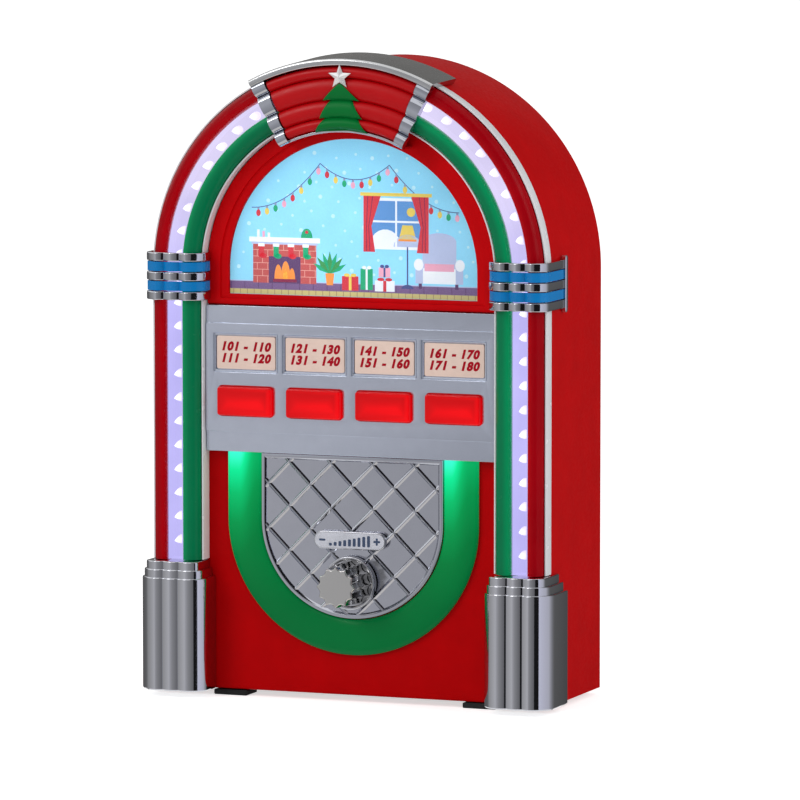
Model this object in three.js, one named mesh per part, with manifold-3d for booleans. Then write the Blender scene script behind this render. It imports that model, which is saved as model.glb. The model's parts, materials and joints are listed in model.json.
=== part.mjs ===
// A small tabletop jukebox: a red arched cabinet with lit strips round its front, a lit picture
// window, a crown, a selector panel, a light guide round a diamond grille, and a volume knob.
// Millimetres. X runs to the right, Y to the back and Z up. The origin is on the table, below
// the middle of the whole object.
import * as THREE from 'three';
import { mergeVertices } from 'three/addons/utils/BufferGeometryUtils.js';
import Module from 'manifold-3d';

const wasm = await Module();
wasm.setup();

// Whole object
const overallWidth = 154.94;
const overallDepth = 68.58;
const overallHeight = 228.6;

// Clearances, cutters and facets
const fit = 0.3;
const overrun = 2;
const archSegments = 28;
const sectorSegments = 10;
const roundSegments = 18;
const smallSegments = 8;
const bulletSegments = 6;
const lobeSegments = 4;

// Corner of a corner piece: how much of its length each part has, and the angle where that part ends
const cornerTurns = [
  { share: 0.13, endAngle: THREE.MathUtils.degToRad(42), steps: 2 },
  { share: 0.72, endAngle: THREE.MathUtils.degToRad(52), steps: 3 },
  { share: 0.15, endAngle: THREE.MathUtils.degToRad(90), steps: 3 },
];

// Cabinet shell and feet
const cabinetWall = 2.2;
const postRadius = 2.3;
const footPadHeight = 2;
const footWidth = 12.7;
const footDepth = 10;
const footInset = 20.5;
const footPegRadius = 1.9;

// Corner pillars
const pillarProud = 3.47;
const pillarInnerLap = 3;
const pillarFront = 13;
const pillarLobe = 0.85;
const pillarFlankSlope = 0.55;
const pillarWingBack = 7.9;
const pillarInnerEnd = 55.8;
const pillarOuterEnd = 73.1;
const pillarMainTop = 42.55;
const pillarStepHeight = 2.95;
const pillarStepInset = 1.2;
const pillarStepSetBack = 0.5;

// Strips that run up both sides and over the arch: their widths, from the outside in, and how far
// each border and crest stands in front of the cabinet
const trimThickness = 0.6;
const redStripWidth = 5.3;
const lampStripWidth = 5.9;
const greenStripWidth = 6.5;
const stripInnerEdgeProud = 5.9;
const stripValleyProud = 7.5;
const stripOuterEdgeProud = 5.6;
const stripCrestProud = 9.4;
const lensWall = 0.8;
const ledBoardThickness = 1;
const ledBoardMargin = 0.7;
const ledPitch = 8.45;
const ledRadius = 1.6;
const ledStraight = 3.4;
const ledLength = 7;
const ledNoseSteps = 3;

// Picture window and its bezel
const bezelWidth = 7.8;
const windowDrop = 8.8;
const windowLap = 1.3;
const bezelProud = 2.3;
const bezelBelow = 3.7;
const bezelSlope = 0.8;
const bezelSlopeWidth = 3;
const lensThickness = 1.2;
const pictureThickness = 0.4;
const backlightThickness = 1.6;
const backlightLap = 2.5;

// Crown: its rib widths run from the top rib down
const crownRibWidths = [5.2, 7.7, 6.2, 5];
const crownHalfAngle = THREE.MathUtils.degToRad(27.3);
const crownBarAngle = THREE.MathUtils.degToRad(4.1);
const crownBase = 0.6;
const crownRib = 2.2;
const crownBarProud = 0.7;
const crownLip = 0.9;
const shelfThickness = 2.3;
const shelfFrontDrop = 1.2;
const shelfLipDrop = 0.8;
const shelfBack = 8.9;
const treeThickness = 0.8;
const treeTopBelow = 7.1;
const treeTierHeights = [5.9, 6, 5.5];
const treeTierHalfWidths = [6.9, 7.9, 9.9];
const treeShoulderHalfWidths = [0.4, 3.9, 6];
const starRadius = 4.4;
const starNotchShare = 0.4;
const starBelow = 4.9;
const starPoints = 5;
const starHeight = 1.4;

// Bands that wrap the strips at mid height
const bandInnerLap = 2.2;
const bandInnerWall = 1.2;
const bandWrap = 1;
const bandLobe = 1.2;
const bandFlankSlope = 0.8;
const bandSideWall = 1.1;
const bandInnerEnd = 56.3;
const bandOuterEnd = 73;
const bandInnerBevel = 2.8;
const bandBottomAbove = 1.5;
const bandRingHeight = 3;
const bandInsertHeight = 3.9;
const bandInsertInset = 0.4;
const bandSideBack = 9.8;
const bandBarWidth = 2;
const bandBarProud = 0.6;
const bandBarOverhang = 1.6;

// Selector panel, its title cards and buttons. The panel takes its share of the front below the
// window, and its strips and rows lie at shares of its height, counted from its top down.
const panelShare = 0.378;
const panelProud = 4.1;
const panelFace = 1.8;
const panelRim = 1.6;
const panelStep = 0.6;
const panelStepHeight = 0.5;
const topStripShare = 0.12;
const cardRowShares = [0.208, 0.434];
const buttonRowShares = [0.554, 0.749];
const bottomStripShare = 0.865;
const panelSideMargin = 2.24;
const keyCount = 4;
const cardGap = 3.93;
const cardThickness = 0.5;
const cardPocket = 1;
const buttonGap = 5.8;
const buttonRadius = 1.6;
const buttonProud = 2.4;
const buttonCrown = 1;
const buttonFlange = 1.25;
const buttonFlangeThickness = 1;
const buttonTravel = 1.5;
const stemWidth = 3;
const switchWidth = 6.5;
const switchHeight = 4;
const stemInWell = 0.5;
const wellSpare = 0.5;
const boardThickness = 1.6;
const switchBoardSetback = 5;
const switchBoardInset = 4.5;
const boardMargin = 3;
const switchBoardAbove = 8;

// Light guide and grille. The guide starts at its share of the front below the panel.
const guideMargin = 7.3;
const guideWidth = 12.7;
const guideBelowShare = 0.17;
const guideEdgeProud = 1;
const guideCrestProud = 2.7;
const guideLampWindow = 8;
const guideLampBelow = 8.5;
const grillePlate = 0.9;
const grilleRib = 0.6;
const grilleRibWidth = 1.6;
const grilleRibTop = 0.6;
const grilleRim = 1;
const grilleRimWidth = 1.6;
const grilleDiagonal = 15.8;
const labelLength = 27;
const labelHeight = 6.3;
const labelThickness = 1.9;
const labelAbove = 15;

// Volume knob, its ring, its potentiometer and the board that carries it
const knobReach = 17.38;
const knobGap = 3.7;
const knobTipRadius = 7.2;
const knobValleyRadius = 6.2;
const knobBackRadius = 7.8;
const knobFlutes = 12;
const knobPointsPerFlute = 6;
const knobShaftRadius = 3;
const ringRadius = 9.5;
const ringWall = 1.1;
const ringHeight = 2.6;
const ringFloor = 0.8;
const potWidth = 17;
const potDepth = 8;
const shaftInPot = 4.5;
const mainBoardHalfWidth = 32;
const mainBoardBelow = 28.7;
const mainBoardAbove = 19.3;
const chipWidth = 12;
const chipHeight = 1.5;
const capacitorRadius = 3;
const capacitorHeight = 7;
const plugWidth = 9;
const plugDepth = 5;
const plugHeight = 4;

// Rear cover, screws and battery bay
const coverThickness = 2.2;
const screwInset = 9.5;
const screwLowZ = 14;
const screwHighAngle = THREE.MathUtils.degToRad(47.6);
const screwHeadRadius = 3;
const screwHeadHeight = 2;
const screwShankRadius = 1.4;
const screwShank = 13;
const screwSink = 0.9;
const screwSlotWidth = 0.9;
const screwSlotDepth = 1;
const bossRadius = 5;
const bossDepth = 3.6;
const counterboreDepth = 3.1;
const cellRadius = 7.1;
const cellLength = 50;
const cellNubRadius = 2.6;
const cellNub = 1.2;
const cellCount = 3;
const cellPitch = 15;
const springLength = 4.2;
const springRadius = 3.6;
const springTipRadius = 2.2;
const contactThickness = 0.6;
const contactMargin = 1;
const bayAbove = 16.2;
const bayWall = 2.2;
const bayLedge = 1.2;
const doorThickness = 1.8;
const doorGripWidth = 14;
const doorGripHeight = 2.4;
const doorGripDepth = 0.8;

// Speaker and power switch
const speakerAboveSwitch = 44;
const speakerRadius = 25;
const speakerFlange = 3;
const speakerFlangeThickness = 1.5;
const speakerWall = 1.2;
const speakerDepth = 12;
const magnetRadius = 12;
const magnetDepth = 7;
const coneThickness = 0.7;
const coneThroat = 6;
const speakerCollar = 3;
const speakerCollarWall = 1.6;
const slotHeight = 2.2;
const slotPitch = 4.6;
const slotFieldRadius = 20;
const powerAboveBay = 38;
const powerTravel = 4;
const powerCapWidth = 4;
const powerCapHeight = 3.6;
const powerCapSink = 0.5;
const powerHousingMargin = 2.4;
const powerHousingDepth = 6.5;
const powerFootDepth = 3;

// Places that follow from the sizes: cabinet and strips
const backY = overallDepth / 2;
const knobFaceY = -overallDepth / 2;
const frontY = knobFaceY + knobReach;
const wallInsideY = frontY + cabinetWall;
const seatY = frontY - fit;
const cabinetRadius = overallWidth / 2 - pillarProud;
const cabinetBottom = footPadHeight + fit;
const shelfInner = cabinetRadius + fit;
const shelfOuter = shelfInner + shelfThickness;
const archZ = overallHeight - shelfOuter;
const redOuter = cabinetRadius - trimThickness - fit;
const stripOuterValley = redOuter - redStripWidth;
const stripInnerValley = stripOuterValley - lampStripWidth;
const stripInner = stripInnerValley - greenStripWidth;
const stripCrestY = frontY - stripCrestProud;
const pillarInnerX = stripInner - pillarInnerLap;
const pillarOuterX = overallWidth / 2;
const pillarTop = pillarMainTop + 2 * pillarStepHeight;
const stripEnd = pillarTop + fit;

// Window and crown
const panelInnerWidth = stripInner - trimThickness - fit;
const windowRadius = panelInnerWidth - bezelWidth;
const windowBottom = archZ - windowDrop;
const bezelBottom = windowBottom - bezelBelow;
const bezelFrontY = frontY - bezelProud;
const crownBackY = stripCrestY - fit;
const crownBaseY = crownBackY - crownBase;
const crownTop = cabinetRadius - fit;

// Panel, with its rows of cards and buttons
const panelTop = bezelBottom - fit;
const panelHeight = panelShare * (panelTop - cabinetBottom);
const panelBottom = panelTop - panelHeight;
const panelFrontY = frontY - panelProud;
const panelHollowY = panelFrontY + panelFace;
const keyPitch = 2 * (panelInnerWidth - panelSideMargin) / keyCount;
const keyPlaces = Array.from({ length: keyCount }, (_, i) => (i - (keyCount - 1) / 2) * keyPitch);
const [cardTop, cardBottom] = cardRowShares.map((share) => panelTop - share * panelHeight);
const cardWidth = keyPitch - cardGap;
const cardHeight = cardTop - cardBottom;
const cardZ = (cardTop + cardBottom) / 2;
const [buttonTop, buttonBottom] = buttonRowShares.map((share) => panelTop - share * panelHeight);
const buttonWidth = keyPitch - buttonGap;
const buttonHeight = buttonTop - buttonBottom;
const buttonZ = (buttonTop + buttonBottom) / 2;
const switchBoardY = wallInsideY + switchBoardSetback;
const switchBoardHalfWidth = panelInnerWidth - switchBoardInset;

// Light guide, grille and knob
const guideTop = panelBottom - fit;
const guideOuter = panelInnerWidth - guideMargin;
const guideInner = guideOuter - guideWidth;
const guideZ = cabinetBottom + guideBelowShare * (panelBottom - cabinetBottom) + guideOuter;
const grilleRadius = guideInner - fit;
const knobZ = guideZ - guideInner + knobGap + ringRadius;
const potBackY = wallInsideY + fit + potDepth;
const mainBoardY = potBackY + fit;
const mainBoardBottom = knobZ - mainBoardBelow;
const mainBoardTop = knobZ + mainBoardAbove;

// Rear cover, with the battery bay, power switch and speaker one above another
const coverInsideY = backY - coverThickness;
const coverRadius = cabinetRadius - cabinetWall - fit;
const screwRadius = coverRadius - screwInset;
const bayHalfWidth = (cellLength + springLength + 2 * contactThickness + 4 * fit) / 2;
const bayHalfHeight = (cellPitch * (cellCount - 1) + 2 * cellRadius + 2 * contactMargin) / 2;
const bayCentreZ = cabinetBottom + cabinetWall + bayAbove + bayWall + bayHalfHeight;
const powerZ = bayCentreZ + powerAboveBay;
const speakerZ = powerZ + speakerAboveSwitch;

// Finishes
const paint = (color, roughness, metalness = 0) =>
  new THREE.MeshStandardMaterial({ color, roughness, metalness });
const clear = (color, roughness, opacity) =>
  new THREE.MeshStandardMaterial({ color, roughness, opacity, transparent: true });
const redPlastic = paint(0xa2171c, 0.3);
const redTubePlastic = paint(0x9b0d1d, 0.2);
const greenTubePlastic = paint(0x068153, 0.2);
const ledLensPlastic = clear(0xd1c6ff, 0.25, 0.6);
const guidePlastic = paint(0x127034, 0.2);
const chromePlating = paint(0xc8ccd0, 0.08, 1);
const silverPaint = paint(0x9599a2, 0.35, 0.6);
const blueInlay = paint(0x0b63a2, 0.3);
const crownRed = paint(0xb01a22, 0.3);
const treeGreen = paint(0x1d8a48, 0.35);
const starSilver = paint(0xdcdde0, 0.2, 0.8);
const cardPaper = paint(0xe6cdbe, 0.6);
const buttonRed = clear(0xe5141a, 0.15, 0.9);
const clearPane = clear(0xdff2fb, 0.05, 0.3);
const picturePaper = paint(0x95deff, 0.6);
const whiteBoard = paint(0xeceef0, 0.6);
const greenBoard = paint(0x1c6a3c, 0.5);
const blackRubber = paint(0x151515, 0.8);
const steel = paint(0xa9acb0, 0.3, 0.9);
const blackPlastic = paint(0x1b1b1d, 0.45);
const blackPaper = paint(0x242224, 0.8);
const cellWrap = paint(0x3a4c66, 0.4);

// Turns a three.js geometry into one welded, indexed mesh whose faces point out
function weld(geometry) {
  const bare = new THREE.BufferGeometry();
  bare.setAttribute('position', geometry.getAttribute('position'));
  if (geometry.index) bare.setIndex(geometry.index);
  const merged = mergeVertices(bare);
  const corner = merged.getAttribute('position');
  const points = [new THREE.Vector3(), new THREE.Vector3(), new THREE.Vector3()];
  const kept = [];
  let volume = 0;
  for (let i = 0; i < merged.index.count; i += 3) {
    const trio = [0, 1, 2].map((k) => merged.index.getX(i + k));
    if (new Set(trio).size < trio.length) continue;
    trio.forEach((index, k) => points[k].fromBufferAttribute(corner, index));
    volume += points[0].dot(points[1].clone().cross(points[2]));
    kept.push(trio);
  }
  if (volume < 0) kept.forEach((trio) => trio.reverse());
  merged.setIndex(kept.flat());
  return merged;
}

function toSolid(geometry) {
  const mesh = weld(geometry);
  return new wasm.Manifold(new wasm.Mesh({
    numProp: 3,
    vertProperties: new Float32Array(mesh.getAttribute('position').array),
    triVerts: new Uint32Array(mesh.index.array),
  }));
}

function toGeometry(solid) {
  const mesh = solid.getMesh();
  const geometry = new THREE.BufferGeometry();
  geometry.setAttribute('position', new THREE.BufferAttribute(mesh.vertProperties, 3));
  geometry.setIndex(new THREE.BufferAttribute(mesh.triVerts, 1));
  geometry.computeVertexNormals();
  return geometry;
}

const join = (first, ...rest) =>
  toGeometry(rest.reduce((sum, geometry) => sum.add(toSolid(geometry)), toSolid(first)));
const cut = (first, ...rest) =>
  toGeometry(rest.reduce((sum, geometry) => sum.subtract(toSolid(geometry)), toSolid(first)));
const overlap = (first, second) => toGeometry(toSolid(first).intersect(toSolid(second)));

// A flat shape drawn in X and Z, made solid between two depths
function alongY(shape, front, back, curveSegments = archSegments) {
  const solid = new THREE.ExtrudeGeometry(shape, { depth: back - front, bevelEnabled: false, curveSegments });
  return solid.rotateX(Math.PI / 2).translate(0, back, 0);
}

// A flat shape drawn in X and Y, made solid between two heights
function alongZ(shape, bottom, top) {
  const solid = new THREE.ExtrudeGeometry(shape, { depth: top - bottom, bevelEnabled: false });
  return solid.translate(0, 0, bottom);
}

// A flat shape drawn in Y and Z, made solid between two places across
function alongX(shape, left, right, curveSegments = smallSegments) {
  const solid = new THREE.ExtrudeGeometry(shape, { depth: right - left, bevelEnabled: false, curveSegments });
  const turn = new THREE.Matrix4().makeBasis(
    new THREE.Vector3(0, 1, 0), new THREE.Vector3(0, 0, 1), new THREE.Vector3(1, 0, 0));
  return solid.applyMatrix4(turn).translate(left, 0, 0);
}

function box(left, right, front, back, bottom, top) {
  return new THREE.BoxGeometry(right - left, back - front, top - bottom)
    .translate((left + right) / 2, (front + back) / 2, (bottom + top) / 2);
}

// A round bar along Y
function barY(x, z, radius, front, back, segments = smallSegments) {
  return new THREE.CylinderGeometry(radius, radius, back - front, segments)
    .translate(x, (front + back) / 2, z);
}

// A profile of [radius, depth] points turned about the Y axis through a place
function turned(profile, x, z, segments = roundSegments) {
  const points = profile.map(([radius, depth]) => new THREE.Vector2(radius, depth));
  return new THREE.LatheGeometry(points, segments).translate(x, 0, z);
}

const outline = (points) => new THREE.Shape(points.map(([a, b]) => new THREE.Vector2(a, b)));

// An upright arch, flat below
function archShape(radius, bottom) {
  const shape = new THREE.Shape();
  shape.moveTo(-radius, bottom);
  shape.lineTo(radius, bottom);
  shape.lineTo(radius, archZ);
  shape.absarc(0, archZ, radius, 0, Math.PI, false);
  shape.closePath();
  return shape;
}

// A bowl, flat above and round below
function bowlShape(radius, top) {
  const shape = new THREE.Shape();
  shape.moveTo(-radius, top);
  shape.lineTo(-radius, guideZ);
  shape.absarc(0, guideZ, radius, Math.PI, 2 * Math.PI, false);
  shape.lineTo(radius, top);
  shape.closePath();
  return shape;
}

// A rectangle with round corners about its centre
function roundedShape(x, z, width, height, radius) {
  const right = width / 2 - radius;
  const top = height / 2 - radius;
  const shape = new THREE.Shape();
  shape.absarc(x + right, z - top, radius, -Math.PI / 2, 0, false);
  shape.absarc(x + right, z + top, radius, 0, Math.PI / 2, false);
  shape.absarc(x - right, z + top, radius, Math.PI / 2, Math.PI, false);
  shape.absarc(x - right, z - top, radius, Math.PI, 3 * Math.PI / 2, false);
  shape.closePath();
  return shape;
}

// Carries a closed profile of [radius, depth] points along stations. Each station has a middle
// height and the direction in which the radius is measured.
function carry(profile, stations) {
  const flat = profile.map(([r, y]) => new THREE.Vector2(r, y));
  const ring = THREE.ShapeUtils.triangulateShape(flat, []);
  const clockwise = THREE.ShapeUtils.isClockWise(flat);
  const positions = stations.flatMap(({ z, across, up }) =>
    profile.flatMap(([r, y]) => [across * r, y, z + up * r]));
  const count = profile.length;
  const last = (stations.length - 1) * count;
  const index = [];
  for (let s = 0; s < last; s += count) {
    for (let k = 0; k < count; k += 1) {
      const next = (k + 1) % count;
      index.push(s + k, s + next, s + count + k);
      index.push(s + next, s + count + next, s + count + k);
    }
  }
  for (const [a, b, c] of ring) {
    index.push(...(clockwise ? [a, b, c] : [c, b, a]));
    index.push(...(clockwise ? [c, b, a] : [a, b, c]).map((k) => last + k));
  }
  const geometry = new THREE.BufferGeometry();
  geometry.setAttribute('position', new THREE.Float32BufferAttribute(positions, 3));
  geometry.setIndex(index);
  return geometry;
}

// Stations of an arc, from one angle to another, measured from straight up towards the right
function arcStations(middle, from, to, segments) {
  return Array.from({ length: segments + 1 }, (_, i) => {
    const angle = from + (to - from) * i / segments;
    return { z: middle, across: Math.sin(angle), up: Math.cos(angle) };
  });
}

// Stations up one leg, over the arch and down the other leg
const archStations = [
  { z: stripEnd, across: -1, up: 0 },
  ...arcStations(archZ, -Math.PI / 2, Math.PI / 2, archSegments),
  { z: stripEnd, across: 1, up: 0 },
];

// Stations down one leg, round the bowl and up the other leg
const guideStations = [
  { z: guideTop, across: 1, up: 0 },
  ...arcStations(guideZ, Math.PI / 2, 3 * Math.PI / 2, archSegments),
  { z: guideTop, across: -1, up: 0 },
];

// Points of a bulge from one [radius, depth] point to another, standing proud to the front
function bulge(from, to, height, segments = lobeSegments) {
  return Array.from({ length: segments + 1 }, (_, i) => {
    const angle = Math.PI * i / segments;
    const share = (1 - Math.cos(angle)) / 2;
    return [
      from[0] + (to[0] - from[0]) * share,
      from[1] + (to[1] - from[1]) * share - height * Math.sin(angle),
    ];
  });
}

const root = new THREE.Group();
root.name = 'jukebox';

function place(name, geometry, material) {
  const mesh = new THREE.Mesh(weld(geometry), material);
  mesh.geometry.computeVertexNormals();
  mesh.name = name;
  root.add(mesh);
}

const sides = [['left', -1], ['right', 1]];

// Cabinet shell: a deep tub with its front wall, open at the back
const footCentreX = cabinetRadius - footInset - footWidth / 2;
const footPlaces = [
  ['front', frontY + footDepth / 2],
  ['rear', coverInsideY - footDepth / 2 - fit],
];
const screwPlaces = [
  ['lower', screwRadius, screwLowZ],
  ['upper', screwRadius * Math.sin(screwHighAngle), archZ + screwRadius * Math.cos(screwHighAngle)],
];
const postFrontY = wallInsideY - cabinetWall / 2;
const bossFrontY = coverInsideY - bossDepth;
const screwSeatY = backY - counterboreDepth;
const boardPosts = [
  [switchBoardHalfWidth - boardMargin, guideTop - guideLampBelow - guideLampWindow / 2, switchBoardY],
  [switchBoardHalfWidth - boardMargin, buttonZ + buttonHeight / 2 + switchBoardAbove, switchBoardY],
  [mainBoardHalfWidth - boardMargin, mainBoardBottom + boardMargin, mainBoardY],
  [mainBoardHalfWidth - boardMargin, mainBoardTop - boardMargin, mainBoardY],
];
const lampX = (guideInner + guideOuter) / 2;
const lampZ = guideTop - guideLampBelow;
const keySlotHalfWidth = keyPlaces[keyCount - 1] + buttonWidth / 2 + buttonFlange + fit;
const keySlotHalfHeight = buttonHeight / 2 + buttonFlange + fit;
const paneRadius = windowRadius + windowLap;
const paneBottom = windowBottom - windowLap;

function cabinetShell() {
  const outer = alongY(archShape(cabinetRadius, cabinetBottom), frontY, backY);
  const inside = alongY(
    archShape(cabinetRadius - cabinetWall, cabinetBottom + cabinetWall), wallInsideY, backY + overrun);
  const posts = sides.flatMap(([, side]) => [
    ...boardPosts.map(([x, z, y]) => barY(side * x, z, postRadius, postFrontY, y - fit)),
    ...screwPlaces.map(([, x, z]) =>
      barY(side * x, z, bossRadius - fit, postFrontY, bossFrontY - fit)),
  ]);
  const bores = sides.flatMap(([, side]) => [
    ...screwPlaces.map(([, x, z]) =>
      barY(side * x, z, screwShankRadius + 2 * fit, screwSeatY - screwShank - overrun, backY)),
    ...footPlaces.map(([, y]) => new THREE.CylinderGeometry(
      footPegRadius + fit, footPegRadius + fit, cabinetWall + 2 * overrun, smallSegments)
      .rotateX(Math.PI / 2).translate(side * footCentreX, y, cabinetBottom + cabinetWall / 2)),
    box(side * lampX - guideLampWindow / 2, side * lampX + guideLampWindow / 2,
      frontY - overrun, wallInsideY + fit, lampZ - guideLampWindow / 2, lampZ + guideLampWindow / 2),
  ]);
  const windowHole = alongY(
    archShape(paneRadius + fit, paneBottom - fit), frontY - overrun, wallInsideY + fit);
  const keySlot = box(-keySlotHalfWidth, keySlotHalfWidth, frontY - overrun, wallInsideY + fit,
    buttonZ - keySlotHalfHeight, buttonZ + keySlotHalfHeight);
  const shaftHole = barY(0, knobZ, knobShaftRadius + fit, frontY - overrun, wallInsideY + fit);
  const tub = join(cut(outer, inside), ...posts);
  return cut(tub, ...bores, windowHole, keySlot, shaftHole);
}
place('cabinet_shell', cabinetShell(), redPlastic);

// Rubber feet: a pad with a peg through the cabinet floor
for (const [sideName, side] of sides) {
  for (const [end, y] of footPlaces) {
    const pad = box(-footWidth / 2, footWidth / 2, -footDepth / 2, footDepth / 2, 0, footPadHeight);
    const pegHeight = fit + cabinetWall + footPadHeight / 2;
    const peg = new THREE.CylinderGeometry(footPegRadius, footPegRadius, pegHeight, smallSegments)
      .rotateX(Math.PI / 2).translate(0, 0, footPadHeight / 2 + pegHeight / 2);
    place(`foot_${end}_${sideName}`, join(pad, peg).translate(side * footCentreX, y, 0), blackRubber);
  }
}

// Outline of a corner piece seen from above, from its inner back end round to its outer back end.
// Three lobes meet in two valleys. Past the inner and the outer lobe the front turns a corner.
const lobeValleys = [stripInnerValley, stripOuterValley];

// From the crest of a lobe down to its end, as a power of the share that ends at the flank's slope
function halfLobe(crestX, endX, valleyY, lobe, slope) {
  const power = slope * Math.abs(endX - crestX) / lobe;
  return Array.from({ length: lobeSegments + 1 }, (_, i) => {
    const share = i / lobeSegments;
    return [crestX + (endX - crestX) * share, valleyY - lobe * (1 - share ** power)];
  });
}
function wholeLobe(startX, endX, valleyY, lobe, slope) {
  const crestX = (startX + endX) / 2;
  return [
    ...halfLobe(crestX, startX, valleyY, lobe, slope).reverse(),
    ...halfLobe(crestX, endX, valleyY, lobe, slope).slice(1),
  ];
}
// The corner turns fast, then slowly and then fast again until it faces sideways
function turnedCorner(startX, startY, endX, startAngle) {
  let angle = startAngle;
  const moves = cornerTurns.flatMap(({ share, endAngle, steps }) => {
    const turn = (endAngle - angle) / steps;
    const parts = Array.from({ length: steps }, (_, i) => angle + turn * (i + 1 / 2));
    angle = endAngle;
    return parts.map((middle) => [share / steps * Math.cos(middle), share / steps * Math.sin(middle)]);
  });
  const scale = Math.abs(endX - startX) / moves.reduce((sum, [dx]) => sum + dx, 0);
  let [x, y] = [startX, startY];
  return moves.map(([dx, dy]) => {
    x += Math.sign(endX - startX) * dx * scale;
    y += dy * scale;
    return [x, y];
  });
}
function lobedFront(front) {
  const { innerX, outerX, innerEnd, outerEnd, valleyY, lobe, slope, innerBackY, sideBackY } = front;
  const borders = [innerEnd, ...lobeValleys, outerEnd];
  const lobes = borders.slice(1).flatMap((endX, i) =>
    wholeLobe(borders[i], endX, valleyY, lobe, slope).slice(i === 0 ? 0 : 1));
  const flank = Math.atan(slope);
  return [
    [innerX, innerBackY],
    ...turnedCorner(innerEnd, valleyY, innerX, flank).reverse(),
    ...lobes,
    ...turnedCorner(outerEnd, valleyY, outerX, flank),
    [outerX, sideBackY],
  ];
}

const mirrored = (points, side) => outline(points.map(([x, y]) => [side * x, y]));

// Pillars: a fluted foot block with two stepped collars, wrapped round the cabinet's corner
function pillarPlan(step) {
  const inset = step * pillarStepInset;
  const front = lobedFront({
    innerX: pillarInnerX + inset,
    outerX: pillarOuterX - inset,
    innerEnd: pillarInnerEnd,
    outerEnd: pillarOuterEnd,
    valleyY: frontY - pillarFront + step * pillarStepSetBack,
    lobe: pillarLobe,
    slope: pillarFlankSlope,
    innerBackY: seatY,
    sideBackY: frontY + pillarWingBack - inset,
  });
  return [
    ...front,
    [cabinetRadius + fit, frontY + pillarWingBack - inset],
    [cabinetRadius + fit, seatY],
  ];
}
for (const [sideName, side] of sides) {
  const steps = [0, 1, 2].map((step) => alongZ(mirrored(pillarPlan(step), side),
    cabinetBottom, pillarMainTop + step * pillarStepHeight));
  place(`pillar_${sideName}`, join(...steps), chromePlating);
}

// Strips: a red tube, a clear lens over the lamps, and a green tube, with chrome trim either side
const innerEdgeY = frontY - stripInnerEdgeProud;
const outerEdgeY = frontY - stripOuterEdgeProud;
const valleyY = frontY - stripValleyProud;
const tubeBorder = fit / 2;
const greenInner = stripInner + fit;
const crestAbove = (a, b) => (a + b) / 2 - stripCrestY;

function stripBar(inner, outer, innerY, outerY) {
  return [[inner, seatY], [outer, seatY],
    ...bulge([outer, outerY], [inner, innerY], crestAbove(innerY, outerY))];
}
place('red_tube', carry(
  stripBar(stripOuterValley + tubeBorder, redOuter, valleyY, outerEdgeY), archStations), redTubePlastic);
place('green_tube', carry(
  stripBar(greenInner, stripInnerValley - tubeBorder, innerEdgeY, valleyY), archStations), greenTubePlastic);
place('outer_trim', carry([
  [cabinetRadius - trimThickness, seatY], [cabinetRadius, seatY],
  [cabinetRadius, outerEdgeY], [cabinetRadius - trimThickness, outerEdgeY]], archStations), chromePlating);
place('inner_trim', carry([
  [stripInner - trimThickness, seatY], [stripInner, seatY],
  [stripInner, innerEdgeY], [stripInner - trimThickness, innerEdgeY]], archStations), chromePlating);

const lensInner = stripInnerValley + tubeBorder;
const lensOuter = stripOuterValley - tubeBorder;
const ledBoardFrontY = seatY - ledBoardThickness;
const lensBackY = ledBoardFrontY - fit;
const lensCrest = crestAbove(valleyY, valleyY);
const lensProfile = [
  [lensInner + lensWall, lensBackY],
  ...bulge([lensInner + lensWall, valleyY + lensWall], [lensOuter - lensWall, valleyY + lensWall], lensCrest),
  [lensOuter - lensWall, lensBackY],
  [lensOuter, lensBackY],
  ...bulge([lensOuter, valleyY], [lensInner, valleyY], lensCrest),
  [lensInner, lensBackY],
];
place('led_lens', carry(lensProfile, archStations), ledLensPlastic);

// Lamp strip: a board with bullet lamps at an even pitch up the legs and over the arch
const ledLine = (stripInnerValley + stripOuterValley) / 2;
const legLength = archZ - stripEnd;
const archLength = Math.PI * ledLine;
const ledTotal = Math.floor((2 * legLength + archLength) / ledPitch);

function ledPlace(i) {
  const distance = (i - (ledTotal - 1) / 2) * ledPitch;
  const along = Math.min(Math.abs(distance), archLength / 2);
  const angle = Math.sign(distance) * along / ledLine;
  const drop = Math.abs(distance) - along;
  return [Math.sin(angle) * ledLine, archZ + Math.cos(angle) * ledLine - drop];
}
function ledBullet(x, z, boardY) {
  const embed = ledBoardThickness / 2;
  const nose = Array.from({ length: ledNoseSteps + 1 }, (_, i) => {
    const angle = Math.PI / 2 * i / ledNoseSteps;
    return [ledRadius * Math.sin(angle),
      boardY - ledStraight - (ledLength - ledStraight) * Math.cos(angle)];
  });
  return turned([...nose, [ledRadius, boardY + embed], [0, boardY + embed]], x, z, bulletSegments);
}
const ledBoard = carry([
  [lensInner + ledBoardMargin, seatY], [lensOuter - ledBoardMargin, seatY],
  [lensOuter - ledBoardMargin, ledBoardFrontY], [lensInner + ledBoardMargin, ledBoardFrontY]], archStations);
const ledBullets = Array.from({ length: ledTotal }, (_, i) => ledBullet(...ledPlace(i), ledBoardFrontY));
place('led_board', join(ledBoard, ...ledBullets), whiteBoard);

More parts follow.
